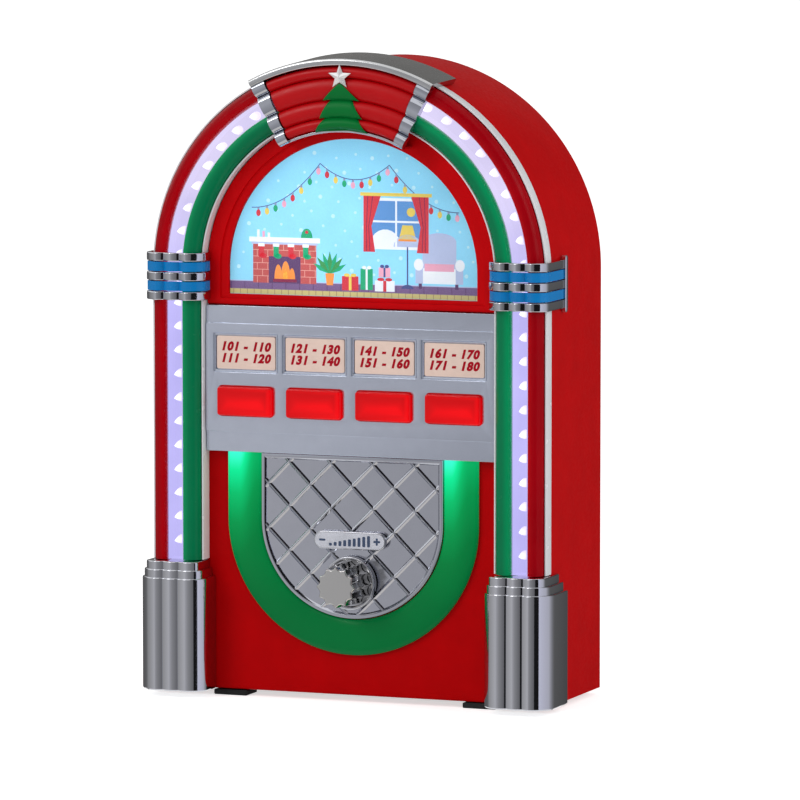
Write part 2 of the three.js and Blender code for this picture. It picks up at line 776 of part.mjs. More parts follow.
// Window: bezel, clear pane, picture sheet and backlight board
function windowBezel() {
  const slopeOuter = windowRadius + bezelSlopeWidth;
  const outer = alongY(archShape(panelInnerWidth, bezelBottom), bezelFrontY, seatY);
  const hole = alongY(archShape(windowRadius, windowBottom), bezelFrontY - overrun, frontY);
  const dish = alongY(archShape(slopeOuter, windowBottom - bezelSlopeWidth / 2),
    bezelFrontY - overrun, bezelFrontY + bezelSlope);
  return cut(outer, hole, dish);
}
place('window_bezel', windowBezel(), redPlastic);
const pictureFrontY = frontY + lensThickness + fit;
place('window_pane', alongY(archShape(paneRadius, paneBottom), frontY, frontY + lensThickness), clearPane);
place('window_picture', alongY(
  archShape(paneRadius, paneBottom), pictureFrontY, pictureFrontY + pictureThickness), picturePaper);
place('window_backlight', alongY(
  archShape(paneRadius + backlightLap, paneBottom - backlightLap),
  wallInsideY + fit, wallInsideY + fit + backlightThickness), whiteBoard);

// Crown: a chrome frame with a shelf, two lobed end bars and a bottom edge round a ribbed panel.
// Its rib borders are radii from the bottom up.
const crownBorders = crownRibWidths.reduce((radii, width) => [radii[0] - width, ...radii], [crownTop]);
const crownBottom = crownBorders[0];
const crownFrontY = crownBaseY - crownRib;
const sector = (half, segments = sectorSegments) => arcStations(archZ, -half, half, segments);
const crownInnerAngle = crownHalfAngle - crownBarAngle;

function ribFront(radii, baseY, height) {
  const points = [];
  for (let i = radii.length - 1; i > 0; i -= 1) {
    points.push(...bulge([radii[i], baseY], [radii[i - 1], baseY], height));
  }
  return points;
}
function crownFrame() {
  const shelf = carry([
    [crownTop - shelfLipDrop, crownBackY],
    [shelfInner, crownBackY],
    [shelfInner, frontY + shelfBack],
    [shelfOuter, frontY + shelfBack],
    [shelfOuter - shelfFrontDrop, crownFrontY - crownBarProud],
    [crownTop - shelfLipDrop, crownFrontY - crownBarProud],
  ], sector(crownHalfAngle));
  const edge = carry([
    [crownBottom, bezelFrontY - fit], [crownBottom + crownLip, bezelFrontY - fit],
    [crownBottom + crownLip, crownBaseY - crownBarProud], [crownBottom, crownBaseY - crownBarProud],
  ], sector(crownHalfAngle));
  const barProfile = [[crownBottom, crownBackY], [crownTop, crownBackY],
    ...ribFront(crownBorders, crownBaseY - crownBarProud, crownRib)];
  const bars = sides.map(([, side]) => carry(barProfile,
    arcStations(archZ, side * crownInnerAngle, side * crownHalfAngle, lobeSegments)));
  return join(shelf, edge, ...bars);
}
place('crown_frame', crownFrame(), chromePlating);

const panelHalfAngle = crownInnerAngle - fit / crownBottom;
const panelOuter = crownTop - shelfLipDrop - fit;
const panelRadii = [crownBottom + crownLip + fit, ...crownBorders.slice(1, -1), panelOuter];
place('crown_panel', carry([
  [panelRadii[0], crownBackY], [panelOuter, crownBackY],
  ...ribFront(panelRadii, crownBaseY, crownRib)], sector(panelHalfAngle)), crownRed);

// Tree: three tiers that follow the ribs, cut from a skin over them
function treeOutline() {
  const top = archZ + crownTop - treeTopBelow;
  const right = [];
  let z = top;
  treeTierHeights.forEach((height, i) => {
    right.push([treeShoulderHalfWidths[i], z], [treeTierHalfWidths[i], z - height]);
    z -= height;
  });
  const left = right.map(([x, height]) => [-x, height]).reverse();
  return outline([...right, ...left]);
}
function treeRelief() {
  const skinBack = ribFront(panelRadii, crownBaseY - fit, crownRib);
  const skinFront = ribFront(panelRadii, crownBaseY - fit - treeThickness, crownRib).reverse();
  const skin = carry([...skinBack, ...skinFront], sector(panelHalfAngle));
  return overlap(skin, alongY(treeOutline(), crownFrontY - overrun - treeThickness, crownBackY));
}
place('crown_tree', treeRelief(), treeGreen);

// Star: a faceted five-point star on the top rib
function star() {
  const middleZ = archZ + crownTop - starBelow;
  const baseY = crownFrontY - fit;
  const corners = [[0, baseY - starHeight, middleZ], [0, baseY, middleZ]];
  const index = [];
  const rim = 2 * starPoints;
  for (let i = 0; i < rim; i += 1) {
    const radius = i % 2 ? starRadius * starNotchShare : starRadius;
    const angle = Math.PI * i / starPoints;
    const next = (i + 1) % rim;
    corners.push([radius * Math.sin(angle), baseY, middleZ + radius * Math.cos(angle)]);
    index.push(0, 2 + i, 2 + next, 1, 2 + next, 2 + i);
  }
  const geometry = new THREE.BufferGeometry();
  geometry.setAttribute('position', new THREE.Float32BufferAttribute(corners.flat(), 3));
  geometry.setIndex(index);
  return geometry;
}
place('crown_star', star(), starSilver);

// Bands: three chrome rings held by an end bar on the cabinet's side, with two blue inlays
const bandBottom = bezelBottom + bandBottomAbove;
const bandPitch = bandRingHeight + bandInsertHeight;
const bandTop = bandBottom + 2 * bandPitch + bandRingHeight;
const bandValleyY = crownBackY - bandWrap;

function bandPlan(inset, sideBackY) {
  const bandInnerX = stripInner - bandInnerLap;
  const front = lobedFront({
    innerX: bandInnerX + inset / 2,
    outerX: cabinetRadius + fit + bandSideWall - inset / 2,
    innerEnd: bandInnerEnd,
    outerEnd: bandOuterEnd,
    valleyY: bandValleyY + inset,
    lobe: bandLobe,
    slope: bandFlankSlope,
    innerBackY: bezelFrontY - fit,
    sideBackY,
  });
  const innerX = bandInnerX + bandInnerWall;
  return [
    ...front,
    [cabinetRadius + fit, sideBackY],
    [cabinetRadius + fit, outerEdgeY - fit - trimThickness],
    [redOuter - fit, crownBackY],
    [innerX + bandInnerBevel, crownBackY],
    [innerX, innerEdgeY - fit],
    [innerX, bezelFrontY - fit],
  ];
}
const bandSideBackY = frontY + bandSideBack;
for (const [sideName, side] of sides) {
  const rings = [0, 1, 2].map((i) => alongZ(mirrored(bandPlan(0, bandSideBackY), side),
    bandBottom + i * bandPitch, bandBottom + i * bandPitch + bandRingHeight));
  const barRadius = bandBarWidth / 2;
  const barShape = roundedShape(bandSideBackY, (bandBottom + bandTop) / 2, bandBarWidth,
    bandTop - bandBottom + 2 * bandBarOverhang, barRadius);
  const barInner = side * (cabinetRadius + fit);
  const barOuter = side * (cabinetRadius + fit + bandSideWall + bandBarProud);
  const endBar = alongX(barShape, Math.min(barInner, barOuter), Math.max(barInner, barOuter), lobeSegments);
  place(`band_${sideName}`, join(endBar, ...rings), chromePlating);
  const insertBackY = bandSideBackY - bandBarWidth / 2 - fit;
  ['lower', 'upper'].forEach((level, i) => {
    const bottom = bandBottom + bandRingHeight + i * bandPitch + fit;
    place(`band_inlay_${level}_${sideName}`, alongZ(mirrored(bandPlan(bandInsertInset, insertBackY), side),
      bottom, bottom + bandInsertHeight - 2 * fit), blueInlay);
  });
}

// Selector panel: a shallow tray with a raised middle, card pockets and button holes
function selectorPanel() {
  const setBackY = panelFrontY + panelStep;
  const upperStepZ = panelTop - topStripShare * panelHeight;
  const lowerStepZ = panelTop - bottomStripShare * panelHeight;
  const profile = outline([
    [seatY, panelBottom], [seatY, panelTop], [setBackY, panelTop], [setBackY, upperStepZ],
    [panelFrontY, upperStepZ - panelStepHeight], [panelFrontY, lowerStepZ + panelStepHeight],
    [setBackY, lowerStepZ], [setBackY, panelBottom],
  ]);
  const face = alongX(profile, -panelInnerWidth, panelInnerWidth);
  const hollow = box(-panelInnerWidth + panelRim, panelInnerWidth - panelRim, panelHollowY, frontY,
    panelBottom + panelRim, panelTop - panelRim);
  const pockets = keyPlaces.map((x) => box(
    x - cardWidth / 2 - fit, x + cardWidth / 2 + fit, panelFrontY - overrun, panelFrontY + cardPocket,
    cardZ - cardHeight / 2 - fit, cardZ + cardHeight / 2 + fit));
  const holes = keyPlaces.map((x) => alongY(
    roundedShape(x, buttonZ, buttonWidth + 2 * fit, buttonHeight + 2 * fit, buttonRadius + fit),
    panelFrontY - overrun, frontY, lobeSegments));
  return cut(face, hollow, ...pockets, ...holes);
}
place('selector_panel', selectorPanel(), silverPaint);

keyPlaces.forEach((x, i) => {
  const cardBackY = panelFrontY + cardPocket - fit / 2;
  place(`title_card_${i + 1}`, box(x - cardWidth / 2, x + cardWidth / 2,
    cardBackY - cardThickness, cardBackY, cardZ - cardHeight / 2, cardZ + cardHeight / 2), cardPaper);
});

// Buttons: a pillow cap with a flange behind the panel and a stem that presses its switch
const flangeFrontY = panelHollowY + fit;
const switchWell = stemInWell + buttonTravel + wellSpare;
const switchFrontY = switchBoardY - switchHeight;
const stemEndY = switchFrontY + stemInWell;
keyPlaces.forEach((x, i) => {
  const flangeBackY = flangeFrontY + buttonFlangeThickness;
  const capFrontY = panelFrontY - buttonProud;
  const capDepth = flangeBackY - capFrontY - 2 * buttonCrown;
  const cap = new THREE.ExtrudeGeometry(
    roundedShape(x, buttonZ, buttonWidth - 2 * buttonCrown, buttonHeight - 2 * buttonCrown,
      buttonRadius - buttonCrown),
    { depth: capDepth, bevelSize: buttonCrown, bevelThickness: buttonCrown, bevelSegments: 2,
      curveSegments: 2 })
    .rotateX(Math.PI / 2).translate(0, flangeBackY - buttonCrown, 0);
  const flange = box(x - buttonWidth / 2 - buttonFlange, x + buttonWidth / 2 + buttonFlange,
    flangeFrontY, flangeBackY,
    buttonZ - buttonHeight / 2 - buttonFlange, buttonZ + buttonHeight / 2 + buttonFlange);
  const stem = box(x - stemWidth / 2, x + stemWidth / 2, flangeBackY - buttonFlangeThickness / 2, stemEndY,
    buttonZ - stemWidth / 2, buttonZ + stemWidth / 2);
  place(`select_button_${i + 1}`, join(cap, flange, stem), buttonRed);
});

// Switch board: tactile switches behind the buttons, and two lamps behind the light guide's ends
function switchBoard() {
  const bottom = boardPosts[0][1] - boardMargin;
  const top = boardPosts[1][1] + boardMargin;
  const board = box(-switchBoardHalfWidth, switchBoardHalfWidth,
    switchBoardY, switchBoardY + boardThickness, bottom, top);
  const bodies = keyPlaces.map((x) => box(x - switchWidth / 2, x + switchWidth / 2,
    switchFrontY, switchBoardY + boardThickness / 2, buttonZ - switchWidth / 2, buttonZ + switchWidth / 2));
  const wellHalf = stemWidth / 2 + fit;
  const wells = keyPlaces.map((x) => box(x - wellHalf, x + wellHalf,
    switchFrontY - overrun, switchFrontY + switchWell, buttonZ - wellHalf, buttonZ + wellHalf));
  const lampReach = switchBoardSetback - fit;
  const lamps = sides.map(([, side]) => barY(side * lampX, lampZ, ledRadius,
    switchBoardY - lampReach, switchBoardY + boardThickness / 2));
  return cut(join(board, ...bodies, ...lamps), ...wells);
}
place('switch_board', switchBoard(), greenBoard);

// Light guide: a convex green band bent round the grille
place('light_guide', carry([
  [guideInner, seatY], [guideOuter, seatY],
  ...bulge([guideOuter, frontY - guideEdgeProud], [guideInner, frontY - guideEdgeProud],
    guideCrestProud - guideEdgeProud, 2 * lobeSegments),
], guideStations), guidePlastic);

// Grille: a plate with a raised rim and raised bars that cross in diamonds
const grilleFaceY = seatY - grillePlate;
const ribFrontY = grilleFaceY - grilleRib;
function grille() {
  const plate = alongY(bowlShape(grilleRadius, guideTop), grilleFaceY, seatY);
  const rimShape = bowlShape(grilleRadius, guideTop);
  rimShape.holes.push(bowlShape(grilleRadius - grilleRimWidth, guideTop - grilleRimWidth));
  const rim = alongY(rimShape, grilleFaceY - grilleRim, seatY - grillePlate / 2);
  const barPitch = grilleDiagonal / Math.SQRT2;
  const reach = Math.ceil((guideTop - guideZ + grilleRadius) / barPitch);
  const crossZ = knobZ + labelAbove + labelHeight / 2;
  const barShape = outline([
    [ribFrontY, -grilleRibTop / 2], [grilleFaceY, -grilleRibWidth / 2],
    [seatY - grillePlate / 2, -grilleRibWidth / 2], [seatY - grillePlate / 2, grilleRibWidth / 2],
    [grilleFaceY, grilleRibWidth / 2], [ribFrontY, grilleRibTop / 2]]);
  const bars = [];
  for (let i = -reach; i <= reach; i += 1) {
    for (const [, side] of sides) {
      bars.push(alongX(barShape, -2 * grilleRadius, 2 * grilleRadius)
        .translate(0, 0, i * barPitch).rotateY(side * Math.PI / 4).translate(0, 0, crossZ));
    }
  }
  const field = alongY(bowlShape(grilleRadius - grilleRimWidth / 2, guideTop - grilleRimWidth / 2),
    ribFrontY - overrun, frontY);
  const lattice = overlap(join(...bars), field);
  const hole = barY(0, knobZ, knobShaftRadius + fit, frontY - ringRadius, frontY + overrun, roundSegments);
  return cut(join(plate, rim, lattice), hole);
}
place('grille', grille(), silverPaint);

// Label plate above the knob, with round ends
const ringBackY = ribFrontY - fit;
place('volume_label', alongY(roundedShape(0, knobZ + labelAbove, labelLength, labelHeight, labelHeight / 2),
  ringBackY - labelThickness, ringBackY, smallSegments / 2), chromePlating);

// Knob ring: a shallow cup that the knob turns in
const ringFrontY = ringBackY - ringHeight;
const ringWellY = ringBackY - ringFloor;
place('knob_ring', turned([
  [knobShaftRadius + fit, ringBackY], [ringRadius, ringBackY], [ringRadius, ringFrontY],
  [ringRadius - ringWall, ringFrontY], [ringRadius - ringWall, ringWellY],
  [knobShaftRadius + fit, ringWellY], [knobShaftRadius + fit, ringBackY],
], 0, knobZ), chromePlating);

// Volume knob: a barrel with a flat face and hollow flutes between sharp tips,
// on a shaft that runs into the potentiometer
const knobBackY = ringWellY - fit;
const shaftEndY = wallInsideY + fit + shaftInPot;
function volumeKnob() {
  const rim = [];
  const steps = knobFlutes * knobPointsPerFlute;
  for (let i = 0; i < steps; i += 1) {
    const angle = 2 * Math.PI * i / steps;
    const hollow = Math.abs(Math.sin(knobFlutes * angle / 2));
    const radius = knobTipRadius - (knobTipRadius - knobValleyRadius) * hollow;
    rim.push([radius * Math.sin(angle), radius * Math.cos(angle)]);
  }
  const barrel = alongY(outline(rim), knobFaceY, knobBackY);
  const corner = barrel.getAttribute('position');
  const flare = knobBackRadius / knobTipRadius - 1;
  for (let i = 0; i < corner.count; i += 1) {
    const grow = 1 + flare * (corner.getY(i) - knobFaceY) / (knobBackY - knobFaceY);
    corner.setX(i, corner.getX(i) * grow);
    corner.setZ(i, corner.getZ(i) * grow);
  }
  const shaft = barY(0, 0, knobShaftRadius, (knobFaceY + knobBackY) / 2, shaftEndY, roundSegments);
  return join(barrel, shaft).translate(0, 0, knobZ);
}
place('volume_knob', volumeKnob(), chromePlating);

// Potentiometer behind the front wall, and the main board that carries it
function potentiometer() {
  const half = potWidth / 2;
  const body = box(-half, half, wallInsideY + fit, potBackY, knobZ - half, knobZ + half);
  const bore = barY(0, knobZ, knobShaftRadius + fit, frontY, shaftEndY + fit, roundSegments);
  return cut(body, bore);
}
place('potentiometer', potentiometer(), steel);

function mainBoard() {
  const backFace = mainBoardY + boardThickness;
  const embed = backFace - boardThickness / 2;
  const board = box(-mainBoardHalfWidth, mainBoardHalfWidth, mainBoardY, backFace,
    mainBoardBottom, mainBoardTop);
  const chip = box(-chipWidth / 2, chipWidth / 2, embed, backFace + chipHeight,
    knobZ - chipWidth / 2, knobZ + chipWidth / 2);
  const partX = (mainBoardHalfWidth + chipWidth / 2) / 2;
  const capacitor = barY(-partX, knobZ, capacitorRadius, embed, backFace + capacitorHeight);
  const plug = box(partX - plugWidth / 2, partX + plugWidth / 2, embed, backFace + plugDepth,
    knobZ - plugHeight / 2, knobZ + plugHeight / 2);
  return join(board, chip, capacitor, plug);
}
place('main_board', mainBoard(), greenBoard);

// Battery door and bay floor, shared by the rear cover, the contacts and the cells
const doorBackY = backY;
const doorFrontY = doorBackY - doorThickness;
const bayFloorY = doorFrontY - fit - 2 * cellRadius - 2 * fit;
const doorHalfWidth = bayHalfWidth + bayLedge - fit;
const doorHalfHeight = bayHalfHeight + bayLedge - fit;
const powerSlotHalf = powerTravel / 2 + powerCapWidth / 2 + fit;

// Rear cover: a plate with the battery bay, a collar for the speaker, sound slots and screw bosses
function rearCover() {
  const plate = alongY(archShape(coverRadius, cabinetBottom + cabinetWall + fit), coverInsideY, backY);
  const plateMiddleY = coverInsideY + coverThickness / 2;
  const tub = box(-bayHalfWidth - bayWall, bayHalfWidth + bayWall, bayFloorY - bayWall, plateMiddleY,
    bayCentreZ - bayHalfHeight - bayWall, bayCentreZ + bayHalfHeight + bayWall);
  const bay = box(-bayHalfWidth, bayHalfWidth, bayFloorY, backY + overrun,
    bayCentreZ - bayHalfHeight, bayCentreZ + bayHalfHeight);
  const recess = box(-doorHalfWidth - fit, doorHalfWidth + fit, doorFrontY - fit, backY + overrun,
    bayCentreZ - doorHalfHeight - fit, bayCentreZ + doorHalfHeight + fit);
  const collar = turned([
    [speakerRadius + fit, coverInsideY - speakerCollar],
    [speakerRadius + fit + speakerCollarWall, coverInsideY - speakerCollar],
    [speakerRadius + fit + speakerCollarWall, plateMiddleY],
    [speakerRadius + fit, plateMiddleY],
    [speakerRadius + fit, coverInsideY - speakerCollar],
  ], 0, speakerZ);
  const bosses = sides.flatMap(([, side]) => screwPlaces.map(([, x, z]) =>
    barY(side * x, z, bossRadius, bossFrontY, plateMiddleY)));
  const slotCount = Math.floor(slotFieldRadius / slotPitch);
  const slots = [];
  for (let i = -slotCount; i <= slotCount; i += 1) {
    const half = Math.sqrt(slotFieldRadius ** 2 - (i * slotPitch) ** 2);
    slots.push(alongY(roundedShape(0, speakerZ + i * slotPitch, 2 * half, slotHeight, slotHeight / 2),
      coverInsideY - overrun, backY + overrun, lobeSegments));
  }
  const screwHoles = sides.flatMap(([, side]) => screwPlaces.flatMap(([, x, z]) => [
    barY(side * x, z, screwHeadRadius + 2 * fit, screwSeatY, backY + overrun),
    barY(side * x, z, screwShankRadius + 2 * fit, bossFrontY - overrun, backY),
  ]));
  const powerSlot = box(-powerSlotHalf, powerSlotHalf, coverInsideY - overrun, backY + overrun,
    powerZ - powerCapHeight / 2 - fit, powerZ + powerCapHeight / 2 + fit);
  return cut(join(plate, tub, collar, ...bosses), bay, recess, ...slots, ...screwHoles, powerSlot);
}
place('rear_cover', rearCover(), redPlastic);

// Battery door: hangs from its round top edge and lies flush with the cover
const hingeZ = bayCentreZ + doorHalfHeight - doorThickness / 2;
const hingeY = (doorFrontY + doorBackY) / 2;
function batteryDoor() {
  const bottom = bayCentreZ - doorHalfHeight;
  const profile = new THREE.Shape();
  profile.moveTo(doorFrontY, bottom);
  profile.lineTo(doorBackY, bottom);
  profile.lineTo(doorBackY, hingeZ);
  profile.absarc(hingeY, hingeZ, doorThickness / 2, 0, Math.PI, false);
  profile.closePath();
  const grip = box(-doorGripWidth / 2, doorGripWidth / 2, doorBackY - doorGripDepth, doorBackY + overrun,
    bottom + doorGripHeight, bottom + 2 * doorGripHeight);
  return cut(alongX(profile, -doorHalfWidth, doorHalfWidth), grip);
}
place('battery_door', batteryDoor(), redPlastic);

// Cells lie across the bay, one above another, between a spring contact and a flat contact
const cellY = bayFloorY + fit + cellRadius;
const cellPlaces = Array.from({ length: cellCount }, (_, i) =>
  bayCentreZ + (i - (cellCount - 1) / 2) * cellPitch);
const cellLeftX = -bayHalfWidth + 2 * fit + contactThickness + springLength;
cellPlaces.forEach((z, i) => {
  const can = cellLength - cellNub;
  const points = [[0, 0], [cellRadius, 0], [cellRadius, can], [cellNubRadius, can],
    [cellNubRadius, cellLength], [0, cellLength]].map(([r, x]) => new THREE.Vector2(r, x));
  place(`battery_cell_${i + 1}`, new THREE.LatheGeometry(points, roundSegments)
    .rotateZ(-Math.PI / 2).translate(cellLeftX, cellY, z), cellWrap);
});
function contactPlate(left) {
  return box(left, left + contactThickness, bayFloorY + fit, doorFrontY - 2 * fit,
    bayCentreZ - bayHalfHeight + fit, bayCentreZ + bayHalfHeight - fit);
}
const springReach = springLength + contactThickness / 2;
const springs = cellPlaces.map((z) =>
  new THREE.CylinderGeometry(springTipRadius, springRadius, springReach, smallSegments)
    .rotateZ(-Math.PI / 2).translate(cellLeftX - fit - springReach / 2, cellY, z));
place('spring_contacts', join(contactPlate(-bayHalfWidth + fit), ...springs), steel);
place('flat_contacts', contactPlate(bayHalfWidth - fit - contactThickness), steel);

// Speaker: a basket with its magnet, and the paper cone inside it
const speakerRimY = coverInsideY - fit;
const basketBackY = speakerRimY - speakerDepth;
const coneRadius = speakerRadius - speakerFlange - fit;
place('speaker_basket', turned([
  [0, basketBackY - magnetDepth], [magnetRadius, basketBackY - magnetDepth], [magnetRadius, basketBackY],
  [speakerRadius - speakerFlange + speakerWall, speakerRimY - speakerFlangeThickness],
  [speakerRadius, speakerRimY - speakerFlangeThickness], [speakerRadius, speakerRimY],
  [speakerRadius - speakerFlange, speakerRimY],
  [speakerRadius - speakerFlange, speakerRimY - speakerFlangeThickness],
  [magnetRadius - speakerWall, basketBackY + speakerWall], [0, basketBackY + speakerWall],
], 0, speakerZ), steel);
place('speaker_cone', turned([
  [0, basketBackY + speakerWall + fit],
  [coneThroat, basketBackY + speakerWall + fit],
  [coneRadius, speakerRimY - speakerFlangeThickness + coneThickness],
  [coneRadius, speakerRimY - fit],
  [coneRadius - coneThickness, speakerRimY - fit],
  [coneThroat, basketBackY + speakerWall + fit + 2 * coneThickness],
  [0, basketBackY + speakerWall + fit + 2 * coneThickness + coneThroat / 2],
], 0, speakerZ), blackPaper);

// Power switch: a slider in a slot of the rear cover, in a housing behind it
const powerRestX = -powerTravel / 2;
const powerHousingBackY = coverInsideY - fit;
const powerHousingFrontY = powerHousingBackY - powerHousingDepth;
function powerHousing() {
  const half = powerSlotHalf + powerHousingMargin;
  const tall = powerCapHeight / 2 + powerHousingMargin;
  const body = box(-half, half, powerHousingFrontY, powerHousingBackY, powerZ - tall, powerZ + tall);
  const track = box(-powerSlotHalf, powerSlotHalf, powerHousingBackY - powerFootDepth - fit,
    powerHousingBackY + overrun, powerZ - powerCapHeight / 2 - fit, powerZ + powerCapHeight / 2 + fit);
  return cut(body, track);
}
place('power_housing', powerHousing(), steel);
place('power_slider', box(powerRestX - powerCapWidth / 2, powerRestX + powerCapWidth / 2,
  powerHousingBackY - powerFootDepth, backY - powerCapSink,
  powerZ - powerCapHeight / 2, powerZ + powerCapHeight / 2), blackPlastic);

// Cover screws: a pan head with a cross slot and a plain shank
for (const [sideName, side] of sides) {
  for (const [level, x, z] of screwPlaces) {
    const headBackY = screwSeatY + screwSink / 2 + screwHeadHeight;
    const pin = turned([
      [0, screwSeatY - screwShank], [screwShankRadius, screwSeatY - screwShank],
      [screwShankRadius, screwSeatY + fit], [screwHeadRadius, screwSeatY + fit],
      [screwHeadRadius, headBackY - screwSink / 2], [screwHeadRadius - screwSink, headBackY], [0, headBackY],
    ], 0, 0);
    const slots = [[screwHeadRadius, screwSlotWidth], [screwSlotWidth, screwHeadRadius]].map(([wide, tall]) =>
      box(-wide / 2, wide / 2, headBackY - screwSlotDepth, headBackY + overrun, -tall / 2, tall / 2));
    place(`cover_screw_${level}_${sideName}`, cut(pin, ...slots).translate(side * x, 0, z), steel);
  }
}

export default root;
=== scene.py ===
import bmesh
import bpy
import json
import math
import numpy as np
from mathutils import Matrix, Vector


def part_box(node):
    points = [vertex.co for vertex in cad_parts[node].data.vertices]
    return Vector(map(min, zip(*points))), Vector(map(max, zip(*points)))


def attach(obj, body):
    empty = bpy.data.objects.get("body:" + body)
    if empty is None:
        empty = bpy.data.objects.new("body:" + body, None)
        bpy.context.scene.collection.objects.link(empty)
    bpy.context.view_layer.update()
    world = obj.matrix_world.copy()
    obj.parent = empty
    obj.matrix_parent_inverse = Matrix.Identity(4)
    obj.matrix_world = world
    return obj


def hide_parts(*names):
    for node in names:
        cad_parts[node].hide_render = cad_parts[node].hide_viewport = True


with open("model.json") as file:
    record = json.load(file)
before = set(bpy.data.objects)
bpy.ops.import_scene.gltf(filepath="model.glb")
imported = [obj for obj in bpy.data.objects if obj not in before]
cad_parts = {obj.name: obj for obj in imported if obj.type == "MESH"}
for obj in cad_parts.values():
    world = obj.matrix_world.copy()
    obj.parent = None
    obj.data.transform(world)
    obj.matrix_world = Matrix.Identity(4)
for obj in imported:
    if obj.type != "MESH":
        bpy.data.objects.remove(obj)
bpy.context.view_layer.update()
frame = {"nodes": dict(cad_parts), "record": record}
print("frame loaded")

mm = 0.001  # lengths are millimetres until a mesh is filled
gap = 0.3  # between pieces that don't touch
weld = 1e-6  # metres within which points are one
speck = 1e-4  # shorter sides of a profile are left out
cornerShare = 0.45  # of a side that a rounded corner may take
arcSteps = 96


def spot(node):
    # The lowest and the highest corner of a node
    return [np.array(point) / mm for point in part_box(node)]


shellLow, shellHigh = spot("cabinet_shell")
redLow, redHigh = spot("red_tube")
_, greenHigh = spot("green_tube")
_, lensHigh = spot("led_lens")
_, ledHigh = spot("led_board")
bezelLow, bezelHigh = spot("window_bezel")
paneLow, paneHigh = spot("window_pane")
pictureLow, pictureHigh = spot("window_picture")
_, crownHigh = spot("crown_frame")
starLow, starHigh = spot("crown_star")
pillarLow, pillarHigh = spot("pillar_right")
bandLow, bandHigh = spot("band_right")
panelLow, panelHigh = spot("selector_panel")
cardLow, cardHigh = spot("title_card_1")
buttonLow, buttonHigh = spot("select_button_1")
guideLow, guideHigh = spot("light_guide")
_, grilleHigh = spot("grille")
labelLow, labelHigh = spot("volume_label")
ringLow, ringHigh = spot("knob_ring")
knobLow, knobHigh = spot("volume_knob")
keyX = np.array([sum(spot(f"title_card_{i}"))[0] / 2 for i in range(1, 5)])

cabinetRadius = shellHigh[0]
archZ = shellHigh[2] - cabinetRadius
frontY = shellLow[1]
seatY = redHigh[1]
stripEnd = redLow[2]
knobZ = (ringLow[2] + ringHigh[2]) / 2
guideOuter = guideHigh[0]
guideZ = guideLow[2] + guideOuter


def softened(profile, radius, steps=4):
    # Rounds the corners of a closed profile: each becomes a quadratic curve between two points on its
    # sides, the radius away from it, or nearer where a side is short.
    reach = np.broadcast_to(np.reshape(radius, (-1, 1)), (len(profile), 1))
    ends = []
    for shift in (1, -1):
        side = np.roll(profile, shift, axis=0) - profile
        length = np.linalg.norm(side, axis=1, keepdims=True)
        ends.append((profile + side / length * np.minimum(reach, cornerShare * length))[:, None])
    t = np.linspace(0, 1, steps + 1)[None, :, None]
    curve = (1 - t) ** 2 * ends[0] + 2 * t * (1 - t) * profile[:, None] + t ** 2 * ends[1]
    points = curve.reshape(-1, 2)
    return points[np.linalg.norm(points - np.roll(points, 1, axis=0), axis=1) > speck]


def bulge(start, end, height, steps=16):
    # Half an ellipse between two [across, depth] points, proud to the front by the height
    angle = np.linspace(0, np.pi, steps + 1)[:, None]
    line = np.array(start) + (np.array(end) - start) * (1 - np.cos(angle)) / 2
    return line - np.sin(angle) * [0, height]


def stations(middle, first, last, steps):
    # Rows of [height of the middle, sideways part, upward part] along an arc, between two angles in
    # degrees from straight up towards the right
    angle = np.radians(np.linspace(first, last, steps + 1))
    return np.stack([np.full_like(angle, middle), np.sin(angle), np.cos(angle)], axis=1)


def carried(profile, path):
    # A closed profile of [radius, depth] points carried along stations: x = sideways * radius,
    # y = depth, z = middle + upward * radius
    middle, sideways, upward = path.T[:, :, None]
    x = sideways * profile[:, 0]
    return np.stack([x, 0 * x + profile[:, 1], middle + upward * profile[:, 0]], axis=2)


def mended(mesh, doubles=weld, slivers=0.0, flat=0.0, outwards=True, smooth=30):
    # Merges doubled points, takes out slivers and edges in flat faces, and turns the faces outwards.
    # Edges sharper than the smooth angle stay sharp.
    work = bmesh.new()
    work.from_mesh(mesh)
    if doubles:
        bmesh.ops.remove_doubles(work, verts=work.verts, dist=doubles)
    if slivers:
        bmesh.ops.dissolve_degenerate(work, dist=slivers, edges=work.edges)
    if flat:
        bmesh.ops.dissolve_limit(work, angle_limit=math.radians(flat), verts=work.verts, edges=work.edges)
    if outwards:
        bmesh.ops.recalc_face_normals(work, faces=work.faces)
    work.to_mesh(mesh)
    work.free()
    if smooth:
        mesh.shade_smooth()
        mesh.set_sharp_from_angle(angle=math.radians(smooth))
    return mesh


def filled(points, faces):
    # A mesh of points in millimetres
    mesh = bpy.data.meshes.new("made")
    mesh.from_pydata((np.asarray(points) * mm).tolist(), [], faces)
    return mesh


def skins(grids, closedRows=False, smooth=30):
    # Closed skins of one grid size in one mesh: quads between neighbouring rows, whose columns close on
    # themselves, with a face over each end unless the rows close too.
    grids = np.asarray(grids)
    count, rows, columns = grids.shape[:3]
    row, column = np.arange(rows if closedRows else rows - 1)[:, None], np.arange(columns)
    after, here, above = (column + 1) % columns, row * columns, (row + 1) % rows * columns
    quads = np.stack([here + column, here + after, above + after, above + column], axis=2).reshape(-1, 4)
    ends = [] if closedRows else [column[::-1], column + (rows - 1) * columns]
    starts = np.arange(count) * rows * columns
    faces = [(start + face).tolist() for start in starts for face in [*quads, *ends]]
    return mended(filled(grids.reshape(-1, 3), faces), slivers=weld, smooth=smooth)


def skin(grid, closedRows=False, smooth=30):
    # One grid of points as a mesh
    return skins(grid[None], closedRows, smooth)


def swept(profile, path):
    # A profile carried along a path, as a mesh
    return skin(carried(profile, path))


